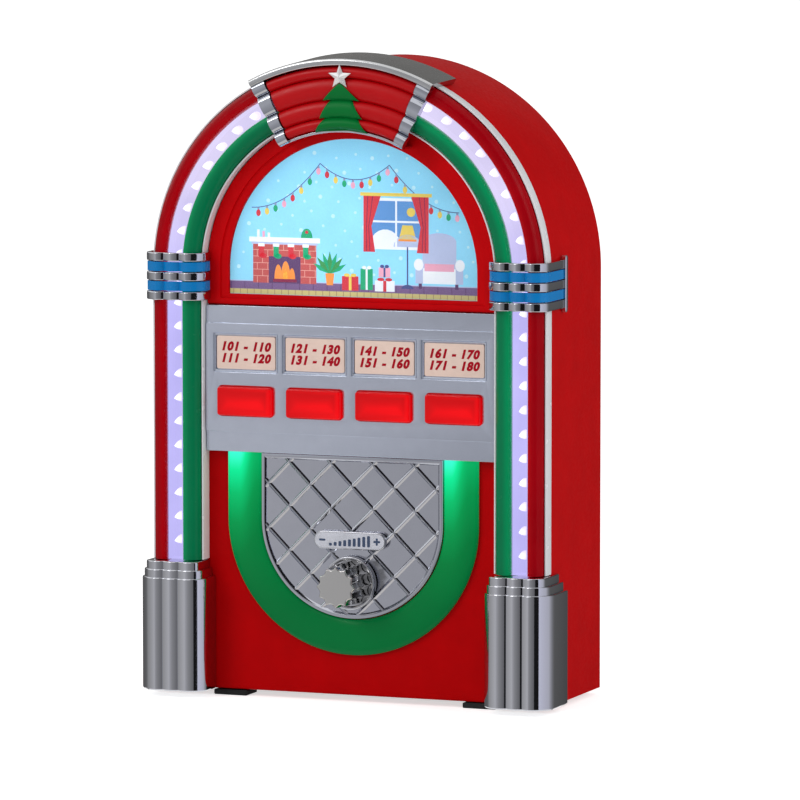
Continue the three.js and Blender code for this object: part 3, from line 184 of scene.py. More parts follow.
def joined(meshes):
    # Several meshes put into one, each with its own finish
    work = bmesh.new()
    whole = bpy.data.meshes.new("joined")
    for mesh in meshes:
        count = len(work.faces)
        work.from_mesh(mesh)
        work.faces.ensure_lookup_table()
        first = len(whole.materials)
        for material in mesh.materials:
            whole.materials.append(material)
        for face in work.faces[count:]:
            face.material_index += first
    work.to_mesh(whole)
    work.free()
    return whole


def painted(mesh, material):
    # The mesh with this finish alone
    mesh.materials.clear()
    mesh.materials.append(material)
    return mesh


def pointsOf(mesh):
    # A row of [x, y, z] in metres for each point
    points = np.empty(len(mesh.vertices) * 3)
    mesh.vertices.foreach_get("co", points)
    return points.reshape(-1, 3)


def marked(mesh, name, values):
    # Keeps a value, or a colour, for each point of a mesh
    kind, field = ("FLOAT_COLOR", "color") if values.ndim == 2 else ("FLOAT", "value")
    mesh.attributes.new(name, kind, "POINT").data.foreach_set(field, values.astype(np.float32).ravel())
    return mesh


def flatMesh(curve, place):
    # The mesh of a flat curve, whose [across, up, out] points the function puts in place
    holder = bpy.data.objects.new("flat", curve)
    bpy.context.scene.collection.objects.link(holder)
    mesh = bpy.data.meshes.new_from_object(holder.evaluated_get(bpy.context.evaluated_depsgraph_get()))
    bpy.data.objects.remove(holder)
    bpy.data.curves.remove(curve)
    mesh.vertices.foreach_set("co", place(*pointsOf(mesh).T).ravel())
    mesh.materials.clear()
    return mesh


def plate(loops, front, back, edge=0.2, steps=3):
    # A flat plate in X and Z with round edges: the first loop is its outline, the others are holes
    curve = bpy.data.curves.new("plate", "CURVE")
    curve.dimensions = "2D"
    curve.fill_mode = "BOTH"
    for loop in loops:
        spline = curve.splines.new("POLY")
        spline.points.add(len(loop) - 1)
        flat = np.column_stack([loop * mm, np.zeros(len(loop)), np.ones(len(loop))])
        spline.points.foreach_set("co", flat.ravel())
        spline.use_cyclic_u = True
    curve.extrude = ((back - front) / 2 - edge) * mm
    curve.bevel_depth = edge * mm
    curve.offset = -edge * mm
    curve.bevel_resolution = steps
    middle = (front + back) / 2 * mm
    mesh = flatMesh(curve, lambda across, up, out: np.column_stack([across, middle - out, up]))
    return mended(mesh, smooth=35)


def rectLoop(x0, x1, z0, z1):
    # The four corners, from the lower left one round to the right
    return np.array([[x0, z0], [x1, z0], [x1, z1], [x0, z1]], float)


def roundRect(x, z, width, height, radius, steps=6):
    # A rectangle with round corners about its middle, as a loop of [x, z] points
    turns = np.radians(np.linspace(-90, 0, steps + 1)[None, :] + np.array([[0], [90], [180], [270]]))
    right, top = width / 2 - radius, height / 2 - radius
    middleX = np.array([right, right, -right, -right])[:, None]
    middleZ = np.array([-top, top, top, -top])[:, None]
    return np.stack([x + middleX + radius * np.cos(turns), z + middleZ + radius * np.sin(turns)],
                    axis=2).reshape(-1, 2)


def circleLoop(x, z, radius, steps):
    # x + radius * cosine, z + radius * sine, all the way round
    angle = np.linspace(0, 2 * np.pi, steps, endpoint=False)
    return np.stack([x + radius * np.cos(angle), z + radius * np.sin(angle)], axis=1)


def halfRound(radius, middleZ, endZ, first, steps):
    # Half a circle from an angle on, with both ends drawn out to a height
    angle = first + np.linspace(0, np.pi, steps + 1)
    arc = np.stack([radius * np.cos(angle), middleZ + radius * np.sin(angle)], axis=1)
    return np.vstack([[arc[0] * [1, 0] + [0, endZ]], arc, [arc[-1] * [1, 0] + [0, endZ]]])


def archLoop(radius, bottom, steps=arcSteps):
    # Round above and flat below, for the cabinet's front
    return halfRound(radius, archZ, bottom, 0, steps)


def bowlLoop(radius, top):
    # Flat above and round below, for the grille's end
    return halfRound(radius, guideZ, top, np.pi, arcSteps)


def lifted(loops, depths):
    # Loops of [x, z] points, each set at its own depth, as a grid
    return np.stack([np.insert(loop, 1, depth, axis=1) for loop, depth in zip(loops, depths)])


def turned(profile, x, z, steps=64):
    # A profile of [radius, depth] points turned about an axis along Y
    angle = np.linspace(0, 2 * np.pi, steps, endpoint=False)
    radius, depth = profile[:, 0][:, None], profile[:, 1][:, None]
    return np.stack([x + radius * np.sin(angle), depth + 0 * angle, z + radius * np.cos(angle)], axis=2)


def prism(loop, front, back):
    # One loop at two depths
    return lifted([loop, loop], [front, back])


def blocks(boxes):
    # Plain boxes given as rows of [x0, x1, y0, y1, z0, z1], in one mesh
    return skins([prism(rectLoop(x0, x1, z0, z1), y0, y1) for x0, x1, y0, y1, z0, z1 in boxes])


def softEdged(node):
    # A welded copy of a node's own mesh, without the edges in its flat faces
    mesh = mended(frame["nodes"][node].data.copy(), doubles=2 * weld, flat=0.5, outwards=False)
    mesh.materials.clear()
    return mesh


def roundEdges(piece, width):
    # A bevel of two faces on every edge sharper than 35 degrees
    bevel = piece.modifiers.new("edges", "BEVEL")
    bevel.width = width * mm
    bevel.segments = 2
    bevel.limit_method = "ANGLE"
    bevel.angle_limit = math.radians(35)
    bevel.harden_normals = True
    return piece


def linear(colour):
    # From a screen colour of 0 to 255 to light: ((c + 0.055) / 1.055) ^ 2.4, or c / 12.92 where it is dark
    value = np.array(colour, float) / 255
    return tuple(np.where(value <= 0.04045, value / 12.92, ((value + 0.055) / 1.055) ** 2.4))


def full(colour):
    # The same, with a full alpha
    return (*linear(colour), 1)


def feed(tree, node, inputs):
    # Each input is set to a value or linked to another node's output
    for key, value in inputs.items():
        if isinstance(value, bpy.types.NodeSocket):
            tree.links.new(value, node.inputs[key])
        else:
            node.inputs[key].default_value = value


def addNode(tree, kind, inputs=None, **settings):
    # Settings come first, since they decide which inputs a node has
    made = tree.nodes.new(f"ShaderNode{kind}")
    for key, value in settings.items():
        setattr(made, key, value)
    feed(tree, made, inputs or {})
    return made


def addMath(tree, operation, *values):
    # One sum with its inputs in order
    return addNode(tree, "Math", dict(enumerate(values)), operation=operation).outputs["Value"]


def addRange(tree, value, first, last, low=0.0, high=1.0, kind="LINEAR"):
    # Low + (high - low) * (value - first) / (last - first), held between the two
    inputs = {"Value": value, "From Min": first, "From Max": last, "To Min": low, "To Max": high}
    return addNode(tree, "MapRange", inputs, interpolation_type=kind).outputs["Result"]


def addMix(tree, share, first, second):
    # First * (1 - share) + second * share
    inputs = {"Factor": share, "A": first, "B": second}
    return addNode(tree, "Mix", inputs, data_type="RGBA").outputs["Result"]


def addNoise(tree, place, scale, detail):
    # Noise between 0 and 1, with the scale in spots per metre
    return addNode(tree, "TexNoise", {"Vector": place, "Scale": scale, "Detail": detail}).outputs["Fac"]


def addRamp(tree, value, stops):
    # Stops are [place, linear colour]
    ramp = addNode(tree, "ValToRGB", {"Fac": value})
    elements = ramp.color_ramp.elements
    while len(elements) < len(stops):
        elements.new(0.5)
    for element, (place, colour) in zip(elements, stops):
        element.position = place
        element.color = (*colour, 1)
    return ramp.outputs["Color"]


def objectPlace(tree):
    # The point on the object, in metres
    return addNode(tree, "TexCoord").outputs["Object"]


def axes(tree):
    # The same, as X, Y and Z apart
    return addNode(tree, "SeparateXYZ", {"Vector": objectPlace(tree)}).outputs


def finish(name, colour, rough=0.3, metal=0.0, spread=0.08, grain=300, tiny=0.0, roughSpread=0.06,
           shine=0.5, clear=None):
    # A finish with a slow change of colour, a changing roughness and a fine bump. Grain is in spots per
    # metre and tiny is the height of the bump. Clear is the index of a clear one.
    material = bpy.data.materials.new(name)
    material.use_nodes = True
    tree = material.node_tree
    shader = tree.nodes["Principled BSDF"]
    place = objectPlace(tree)
    slow, fine = addNoise(tree, place, grain / 8, 3.0), addNoise(tree, place, grain, 4.0)
    base = np.array(linear(colour))
    tint = addRamp(tree, slow, [(0.3, base * (1 - spread)), (0.7, np.minimum(base * (1 + spread), 1))])
    dull = addRange(tree, fine, 0.3, 0.7, max(rough - roughSpread, 0.02), rough + roughSpread)
    feed(tree, shader, {"Base Color": tint, "Roughness": dull, "Metallic": metal,
                        "Specular IOR Level": shine})
    if tiny:
        bump = addNode(tree, "Bump", {"Strength": 0.5, "Distance": tiny * mm, "Height": fine})
        feed(tree, shader, {"Normal": bump.outputs["Normal"]})
    if clear:
        feed(tree, shader, {"Transmission Weight": 1.0, "IOR": clear})
    return material


finishes = {
    "red_plastic": finish("redPlastic", (190, 0, 4), 0.4, grain=900, tiny=0.003, spread=0.05, shine=0.04),
    "red_tube_plastic": finish("redTube", (160, 0, 14), 0.2, spread=0.1, shine=0.08),
    "green_tube_plastic": finish("greenTube", (0, 124, 78), 0.22, spread=0.06, shine=0.14),
    "led_lens_plastic": finish("lampLens", (244, 243, 252), 0.04, roughSpread=0.02, clear=1.04),
    "guide_plastic": finish("guideGlow", (0, 112, 52), 0.2, grain=200, spread=0.05, shine=0.12),
    "chrome_plating": finish("chromePlating", (206, 207, 213), 0.08, 1.0, roughSpread=0.01, spread=0.015),
    "silver_paint": finish("silverPaint", (208, 214, 228), 0.2, 0.95, grain=1800, tiny=0.002, spread=0.02,
                           roughSpread=0.03),
    "blue_inlay": finish("blueInlay", (2, 126, 198), 0.24, tiny=0.004, shine=0.3),
    "crown_red": finish("crownRed", (192, 2, 12), 0.34, tiny=0.004, spread=0.05, shine=0.2),
    "tree_green": finish("treeGreen", (2, 116, 50), 0.38, tiny=0.004, spread=0.06, shine=0.12),
    "star_silver": finish("starSilver", (246, 246, 248), 0.3, 0.4, spread=0.03),
    "card_paper": finish("cardPaper", (242, 214, 200), 0.65, grain=2500, tiny=0.01, spread=0.03),
    "button_red": finish("litButton", (190, 0, 6), 0.08, spread=0.05, shine=0.22),
    "clear_pane": finish("clearPane", (244, 250, 252), 0.03, roughSpread=0.01, clear=1.12),
    "picture_paper": finish("picturePrint", (149, 222, 255), 0.6),
    "white_board": finish("whiteBoard", (236, 238, 240), 0.6),
    "green_board": finish("greenBoard", (28, 106, 60), 0.5),
    "black_rubber": finish("blackRubber", (24, 24, 25), 0.8, tiny=0.04, grain=1500),
    "steel": finish("brightSteel", (176, 178, 182), 0.3, 0.9),
    "black_plastic": finish("blackPlastic", (27, 27, 29), 0.45, tiny=0.02),
    "black_paper": finish("blackPaper", (36, 34, 36), 0.8, tiny=0.03),
    "cell_wrap": finish("cellWrap", (58, 76, 102), 0.4),
}
slotOf = {part["node"]: part["material_slot"] for part in frame["record"]["subparts"]}
bodyOf = {node: body for body, nodes in frame["record"]["behaviour"]["bodies"].items() for node in nodes}
for node, piece in frame["nodes"].items():
    painted(piece.data, finishes[slotOf[node]])
print("finishes laid on", len(frame["nodes"]), "nodes")


def dress(name, mesh, node):
    # Makes a piece in place of a node, with the finish of the node's slot unless the mesh has its own
    piece = bpy.data.objects.new(name, mesh)
    bpy.context.scene.collection.objects.link(piece)
    if not mesh.materials:
        mesh.materials.append(finishes[slotOf[node]])
    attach(piece, bodyOf[node])
    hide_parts(node)
    return piece


cabinet = {"wall": 2.2, "edges": [1.0, 0.5, 0.3, 0.001], "overlap": 0.02, "frontEdge": 0.002,
           "shaftHole": 3.3, "holeCorner": 0.4, "lampHole": 8.0, "lampIn": 6.35, "lampDown": 8.5}
wall = cabinet["wall"]


def cabinetSkin():
    # The outline arch is carried round with a closed wall profile: offsets inwards from the outline
    # against depth, with round outer edges
    profile = softened(np.array([[0, frontY], [0, shellHigh[1]], [wall, shellHigh[1]], [wall, frontY]]),
                       cabinet["edges"])
    loops = [archLoop(cabinetRadius - inward, shellLow[2] + inward) for inward in profile[:, 0]]
    return skin(lifted(loops, profile[:, 1]), closedRows=True, smooth=40)


def frontWall():
    # The flat front wall with its window hole, shaft hole, key slot and lamp windows
    inset, corner, lampHole = wall - cabinet["overlap"], cabinet["holeCorner"], cabinet["lampHole"]
    lampX, lampZ = guideOuter - cabinet["lampIn"], guideHigh[2] - cabinet["lampDown"]
    slotWide = 2 * (buttonHigh[0] - keyX[0] + keyX[3] + gap)
    slotTall = buttonHigh[2] - buttonLow[2] + 2 * gap
    loops = [archLoop(cabinetRadius - inset, shellLow[2] + inset),
             archLoop(paneHigh[0] + gap, paneLow[2] - gap), circleLoop(0, knobZ, cabinet["shaftHole"], 32),
             roundRect(0, (buttonLow[2] + buttonHigh[2]) / 2, slotWide, slotTall, corner),
             *[roundRect(side * lampX, lampZ, lampHole, lampHole, corner) for side in (-1, 1)]]
    return plate(loops, frontY, frontY + wall, cabinet["frontEdge"], 0)


dress("cabinetShell", joined([cabinetSkin(), frontWall()]), "cabinet_shell")
softPieces = {  # name: node, width of its round edges
    "rearCover": ("rear_cover", 0.3), "batteryDoor": ("battery_door", 0.3),
    "powerSlider": ("power_slider", 0.2),
    "footFrontLeft": ("foot_front_left", 0.5), "footFrontRight": ("foot_front_right", 0.5),
    "footRearLeft": ("foot_rear_left", 0.5), "footRearRight": ("foot_rear_right", 0.5),
    "screwLowerLeft": ("cover_screw_lower_left", 0.15), "screwUpperLeft": ("cover_screw_upper_left", 0.15),
    "screwLowerRight": ("cover_screw_lower_right", 0.15),
    "screwUpperRight": ("cover_screw_upper_right", 0.15)}
for name, (node, width) in softPieces.items():
    roundEdges(dress(name, softEdged(node), node), width)
print("cabinet and rear made")

strips = {"crestSteps": 24, "valley": 7.5, "innerEdge": 5.9, "outerEdge": 5.6, "green": 6.05,
          "lensWall": 0.12, "leak": 3.4, "redLeak": 0.14, "greenLeak": 0.12, "trim": 0.6, "trimEdge": 0.15}
archPath = np.vstack([[[stripEnd, -1, 0]], stations(archZ, -90, 90, arcSteps), [[stripEnd, 1, 0]]])
valleyY, crestY = frontY - strips["valley"], redLow[1]
innerEdgeY, outerEdgeY = frontY - strips["innerEdge"], frontY - strips["outerEdge"]
tubeInner = lensHigh[0] + gap
greenInner = greenHigh[0] - strips["green"]
lensInner, lensOuter = greenHigh[0] + gap, lensHigh[0]
linerInner, linerOuter = lensInner + strips["lensWall"], lensOuter - strips["lensWall"]


def stripBar(inner, outer, innerY, outerY):
    # A bar with a flat back and half an ellipse for its front
    crest = bulge([outer, outerY], [inner, innerY], (innerY + outerY) / 2 - crestY, strips["crestSteps"])
    return np.vstack([[[inner, seatY], [outer, seatY]], crest])


def lensBar():
    # A thin wall, open to the back, whose inside follows the outside one wall further back
    insideY, rise = valleyY + strips["lensWall"], valleyY - crestY
    outside = bulge([lensOuter, valleyY], [lensInner, valleyY], rise, strips["crestSteps"])
    inside = bulge([linerInner, insideY], [linerOuter, insideY], rise, strips["crestSteps"])
    backY = lensHigh[1]
    return np.vstack([[[linerInner, backY]], inside, [[linerOuter, backY], [lensOuter, backY]], outside,
                      [[lensInner, backY]]])


def trimBar(inner, front):
    # A thin upright wall with round edges
    outer = inner + strips["trim"]
    section = np.array([[inner, seatY], [outer, seatY], [outer, front], [inner, front]])
    return softened(section, strips["trimEdge"])


def fromArch(tree):
    # The distance from the arch's middle: the root of x squared plus the height above that middle
    # squared, where the height counts as 0 below it
    place = axes(tree)
    above = addMath(tree, "MAXIMUM", addMath(tree, "SUBTRACT", place["Z"], archZ * mm), 0)
    flat = addNode(tree, "CombineXYZ", {"X": place["X"], "Z": above}).outputs["Vector"]
    return addNode(tree, "VectorMath", {0: flat}, operation="LENGTH").outputs["Value"]


def leaking(material, near, reach, strength, colour):
    # Light that leaks in from the lamps: full at the near radius and gone at the end of its reach
    tree = material.node_tree
    glow = addRange(tree, fromArch(tree), near * mm, (near + reach) * mm, strength, 0, "SMOOTHSTEP")
    feed(tree, tree.nodes["Principled BSDF"], {"Emission Color": full(colour), "Emission Strength": glow})


leaking(finishes["red_tube_plastic"], lensOuter, strips["leak"], strips["redLeak"], (255, 0, 8))
leaking(finishes["green_tube_plastic"], lensInner, -strips["leak"], strips["greenLeak"], (20, 255, 150))
dress("redTube", swept(stripBar(tubeInner, redHigh[0], valleyY, outerEdgeY), archPath), "red_tube")
dress("greenTube", swept(stripBar(greenInner, greenHigh[0], innerEdgeY, valleyY), archPath), "green_tube")
dress("lampLens", swept(lensBar(), archPath), "led_lens")
# A near-white finish with little metal: painted reflection, giving the plated trims the white that their
# plating shows when it mirrors the white room
trimPaintedSheen = finish("trimPaintedSheen", (246, 247, 250), 0.25, 0.15, roughSpread=0.03, spread=0.03)
for name, inner, front in (("outer", cabinetRadius - strips["trim"], outerEdgeY),
                           ("inner", greenInner - gap - strips["trim"], innerEdgeY)):
    dress(f"{name}Trim", painted(swept(trimBar(inner, front), archPath), trimPaintedSheen), f"{name}_trim")

# Lamps: bullets at an even pitch up the legs and over the arch, pointing to the front
lamps = {"pitch": 8.45, "radius": 1.6, "straight": 0.6, "length": 7.0, "around": 16, "rows": 12,
         "nose": 1.25, "tip": 0.999, "foot": 0.5, "board": 1.0, "wall": 0.1, "cap": 0.3}
boardFrontY = ledHigh[1] - lamps["board"]


def lampPlaces():
    # Distances along the strip from its top: the part within the arch is an angle, the rest a drop
    line = (lensInner + lensOuter) / 2
    archLength = math.pi * line
    count = int((2 * (archZ - stripEnd) + archLength) // lamps["pitch"])
    distance = (np.arange(count) - (count - 1) / 2) * lamps["pitch"]
    along = np.minimum(np.abs(distance), archLength / 2)
    angle = np.sign(distance) * along / line
    return np.sin(angle) * line, archZ + np.cos(angle) * line - (np.abs(distance) - along)


def bulletSkins():
    # The radius is full along the straight part and then falls to the tip as 1 - share ^ nose
    share = np.linspace(0, lamps["tip"], lamps["rows"])
    nose = lamps["straight"] + (lamps["length"] - lamps["straight"]) * share
    radius = lamps["radius"] * np.concatenate([[1, 1], 1 - share ** lamps["nose"]])
    profile = np.column_stack([radius, boardFrontY + np.concatenate([[lamps["foot"], 0], -nose])])
    return skins([turned(profile, x, z, lamps["around"]) for x, z in zip(*lampPlaces())])


def glowing(material, strength, axis, places, colours):
    # Even light that changes from one colour to the other between two places on an axis
    tree = material.node_tree
    along = addRange(tree, axes(tree)[axis], places[0] * mm, places[1] * mm, kind="SMOOTHSTEP")
    colour = addMix(tree, along, *[full(colour) for colour in colours])
    feed(tree, tree.nodes["Principled BSDF"], {"Emission Color": colour, "Emission Strength": strength})
    return material


channelGlow = glowing(finish("channelGlow", (40, 38, 60), 0.6, shine=0.1), 0.98, "Z",
                      (archZ - 15, archZ + 35), ((202, 196, 252), (230, 222, 250)))
lampGlow = glowing(finish("lampGlow", (190, 188, 210), 0.4), 1.1, "Y",
                   (boardFrontY - 5.8, boardFrontY - 1.2), ((255, 255, 255), (204, 198, 250)))
floorInner, floorOuter = linerInner + lamps["wall"], linerOuter - lamps["wall"]
channel = np.array([[linerInner, seatY], [linerOuter, seatY], [linerOuter, valleyY], [floorOuter, valleyY],
                    [floorOuter, boardFrontY], [floorInner, boardFrontY], [floorInner, valleyY],
                    [linerInner, valleyY]])
endCaps = blocks([[*sorted([side * linerInner, side * linerOuter]), valleyY, boardFrontY, stripEnd,
                   stripEnd + lamps["cap"]] for side in (-1, 1)])
dress("lampStrip", joined([painted(swept(channel, archPath), channelGlow), painted(endCaps, channelGlow),
                           painted(bulletSkins(), lampGlow)]), "led_board")
print("strips made")

corner = {"steps": 14, "ledgeSteps": 3, "turns": [(0.13, 42), (0.5, 52), (0.37, 90)]}  # length, end angle
lobeValleys = [(greenHigh[0] + lensInner) / 2, (lensHigh[0] + tubeInner) / 2]
wallX = cabinetRadius + gap


def wholeLobe(startX, endX, lowY, lobe, slope):
    # Depth = lobe * (1 - share ^ p) either side of the crest, where the share grows to 1 at the ends and
    # the power p makes the flanks end at the slope
    share = np.linspace(-1, 1, 2 * corner["steps"] + 1)
    half = (endX - startX) / 2
    depth = lowY - lobe * (1 - np.abs(share) ** (slope * half / lobe))
    return np.stack([(startX + endX) / 2 + half * share, depth], axis=1)


def turnedCorner(startX, startY, endX, startAngle):
    # The corner turns fast, then slowly and then fast again until it faces sideways. Each part of its
    # length has its own end angle, and the sum of the small moves ends at the end's X.
    length = np.cumsum([0, *[part for part, _ in corner["turns"]]])
    angle = [startAngle, *[math.radians(end) for _, end in corner["turns"]]]
    along = np.linspace(0, 1, 4 * corner["steps"] + 1)
    middle = np.interp((along[1:] + along[:-1]) / 2, length, angle)
    moves = np.stack([np.cos(middle), np.sin(middle)], axis=1)
    scale = abs(endX - startX) / moves[:, 0].sum()
    return [startX, startY] + np.cumsum(moves * scale * [math.copysign(1, endX - startX), 1], axis=0)


def lobedFront(piece, innerX, outerX, lowY, innerBackY, sideBackY):
    # Three lobes that meet in two valleys, and a turned corner at each end
    borders = [piece["innerEnd"], *lobeValleys, piece["outerEnd"]]
    lobes = [wholeLobe(a, b, lowY, piece["lobe"], piece["slope"])[min(k, 1):]
             for k, (a, b) in enumerate(zip(borders, borders[1:]))]
    flank = math.atan(piece["slope"])
    return np.vstack([[[innerX, innerBackY]], turnedCorner(borders[0], lowY, innerX, flank)[::-1], *lobes,
                      turnedCorner(borders[-1], lowY, outerX, flank), [[outerX, sideBackY]]])


def stacked(planOf, levels, side):
    # A plan that changes with its insets, laid at each level of [height, insets]
    plans = [np.insert(planOf(*insets), 2, height, axis=1) for height, *insets in levels]
    return skin(np.stack(plans) * [side, 1, 1], smooth=35)


def ledge(height, edge):
    # Levels of [height, inset] round the outer edge at the top of a step: a quarter of a circle
    angle = np.linspace(0, np.pi / 2, corner["ledgeSteps"] + 1)
    return np.stack([height - edge + edge * np.sin(angle), edge * (1 - np.cos(angle))], axis=1)


pillar = {"front": 13.0, "lobe": 0.85, "slope": 0.56, "innerEnd": 55.8, "outerEnd": 73.1, "tiers": 3,
          "high": 2.95, "inset": 1.2, "setBack": 0.5, "wingBack": 7.9, "edge": 0.5, "sag": 0.3,
           "sideSteps": 12}


def pillarPlan(sideInset, frontInset):
    # The lobed front, then a side that falls away towards the back as the square of its share of length
    backY = frontY + pillar["wingBack"] - sideInset
    front = lobedFront(pillar, pillarLow[0] + sideInset, pillarHigh[0] - sideInset,
                       frontY - pillar["front"] + frontInset, seatY, backY)
    share = np.linspace(0, 1, pillar["sideSteps"] + 1)[1:]
    startX, startY = front[-2]
    flank = np.stack([startX - pillar["sag"] * share ** 2, startY + (backY - startY) * share], axis=1)
    return np.vstack([front[:-1], flank, [[wallX, backY], [wallX, seatY]]])


def pillarLevels():
    # The foot's round lower edge, then the tiers, each with a round upper edge
    edge, last = pillar["edge"], pillar["tiers"] - 1
    inset = np.array([0, pillar["inset"], pillar["setBack"]])
    levels = [[[pillarLow[2], edge, edge], [pillarLow[2] + edge, 0, 0]]]
    for k in range(last + 1):
        top = pillarHigh[2] - (last - k) * pillar["high"]
        levels.append(ledge(top, edge)[:, [0, 1, 1]] + k * inset)
        if k < last:
            levels.append([[top, 0, 0] + (k + 1) * inset])
    return np.vstack(levels)


band = {"front": 1.3, "lobe": 1.2, "slope": 0.7, "innerEnd": 56.3, "outerEnd": 73.0, "rings": 3, "ring": 3.0,
        "inlay": 3.9, "edge": 0.45, "over": 1.6, "wing": 1.1, "inner": 1.2, "bevel": 2.8, "shoulder": 0.9,
        "back": 9.8, "sunk": 0.4, "inlayBack": 1.3, "barWidth": 2.0,
        "bar": [(0, 1, 1), (1.4, 1, 1), (1.7, 0.72, 0.9664)]}  # proud, part of the width, of the height
bandBottom, bandPitch = bandLow[2] + band["over"], band["ring"] + band["inlay"]
bandBackY = frontY + band["back"]


def bandPlan(inset, backY=bandBackY):
    # The lobed front, the side, and an inner line that steps round the trim, the strips and the window
    front = lobedFront(band, bandLow[0] + inset / 2, wallX + band["wing"] - inset / 2,
                       redLow[1] - band["front"] + inset, bezelLow[1] - gap, backY)
    innerX = bandLow[0] + band["inner"]
    return np.vstack([front, [[wallX, backY], [wallX, outerEdgeY - band["shoulder"]],
                              [redHigh[0] - gap, redLow[1] - gap], [innerX + band["bevel"], redLow[1] - gap],
                              [innerX, innerEdgeY - gap], [innerX, bezelLow[1] - gap]]])


def bandRing(base, side):
    # Its lower edge is the upper one turned over
    lower, upper = ledge(-base, band["edge"])[::-1] * [-1, 1], ledge(base + band["ring"], band["edge"])
    return stacked(bandPlan, np.vstack([lower, upper]), side)


def bandBar(side):
    # A bar with round ends that shrinks at its outer face
    middle = np.array([bandBackY, (bandLow[2] + bandHigh[2]) / 2])
    loop = roundRect(0, 0, band["barWidth"], bandHigh[2] - bandLow[2], band["barWidth"] / 2, 8)
    return skin(np.stack([np.insert(middle + loop * [wide, tall], 0, side * (wallX + proud), axis=1)
                          for proud, wide, tall in band["bar"]]))


sides = {"left": -1, "right": 1}
for sideName, side in sides.items():
    dress(f"pillar{sideName.title()}", stacked(pillarPlan, pillarLevels(), side), f"pillar_{sideName}")
for sideName, side in sides.items():
    rings = [bandRing(bandBottom + k * bandPitch, side) for k in range(band["rings"])]
    dress(f"band{sideName.title()}", joined([*rings, bandBar(side)]), f"band_{sideName}")
    for k, level in enumerate(("lower", "upper")):
        low = bandBottom + k * bandPitch + band["ring"] + gap
        levels = [[height, band["sunk"], bandBackY - band["inlayBack"]]
                  for height in (low, low + band["inlay"] - 2 * gap)]
        dress(f"inlay{level.title()}{sideName.title()}", stacked(bandPlan, levels, side),
              f"band_inlay_{level}_{sideName}")
print("corner pieces made")

crown = {"borders": [49.6, 54.6, 60.8, 68.5, 73.7], "half": 27.3, "barAngle": 4.1, "barSteps": 6,
         "base": 0.6, "rib": 2.2, "ribSteps": 14, "steps": 48, "barProud": 0.7, "lip": 0.9, "lipDrop": 0.8,
         "shelfBack": 8.9, "shelfLean": 1.2, "shelfEdges": [0.1, 0.3, 0.4, 0.6, 1.3, 0.8],
         "lipEdges": [0.1, 0.1, 0.3, 0.3]}
crownBackY, crownBaseY = redLow[1] - gap, redLow[1] - gap - crown["base"]
barBaseY = crownBaseY - crown["barProud"]
crownLow, crownTop = crown["borders"][0], crown["borders"][-1]
lipTop, topDrop = crownLow + crown["lip"], crownTop - crown["lipDrop"]
innerAngle = crown["half"] - crown["barAngle"]


def ribFront(radii, baseY):
    # Half an ellipse between each two borders, from the top down
    falling = radii[::-1]
    return np.vstack([bulge([a, baseY], [b, baseY], crown["rib"], crown["ribSteps"])
                      for a, b in zip(falling, falling[1:])])


def ribbed(radii, baseY):
    # A flat back under the ribs
    return np.vstack([[[radii[0], crownBackY], [radii[-1], crownBackY]], ribFront(radii, baseY)])


def shelfBar():
    # The shelf lies over the cabinet's edge and leans back to its outer end
    outer, backY, frontEndY = crownHigh[2] - archZ, frontY + crown["shelfBack"], barBaseY - crown["rib"]
    return softened(np.array([[topDrop, crownBackY], [wallX, crownBackY], [wallX, backY], [outer, backY],
                              [outer - crown["shelfLean"], frontEndY], [topDrop, frontEndY]]),
                    crown["shelfEdges"], 6)


edgeBar = softened(np.array([[crownLow, bezelLow[1] - gap], [lipTop, bezelLow[1] - gap], [lipTop, barBaseY],
                             [crownLow, barBaseY]]), crown["lipEdges"])
shelfPlating = finish("shelfPlating", (196, 197, 198), 0.16, 1.0, grain=700, tiny=0.004, spread=0.05)
barPlating = finish("barPlating", (190, 193, 202), 0.06, 1.0, roughSpread=0.01, spread=0.015)
halfPath = stations(archZ, -crown["half"], crown["half"], crown["steps"])
frameMeshes = [painted(swept(shelfBar(), halfPath), shelfPlating),
               painted(swept(edgeBar, halfPath), finishes["chrome_plating"])]
for side in (-1, 1):
    barPath = stations(archZ, side * innerAngle, side * crown["half"], crown["barSteps"])
    frameMeshes.append(painted(swept(ribbed(crown["borders"], barBaseY), barPath), barPlating))
dress("crownFrame", joined(frameMeshes), "crown_frame")
panelHalf = innerAngle - math.degrees(gap / crownLow)
panelRadii = [lipTop + gap, *crown["borders"][1:-1], topDrop - gap]
panelPath = stations(archZ, -panelHalf, panelHalf, crown["steps"])
dress("crownPanel", swept(ribbed(panelRadii, crownBaseY), panelPath), "crown_panel")

relief = {"top": 66.6, "tiers": [5.4, 6.1, 4.6], "half": [6.7, 7.9, 9.8], "shoulder": [0.4, 3.9, 6.0],
          "flank": 0.92, "droop": 0.35, "thick": 0.8, "rimThick": 0.45, "rim": 14, "rows": 14, "columns": 28}


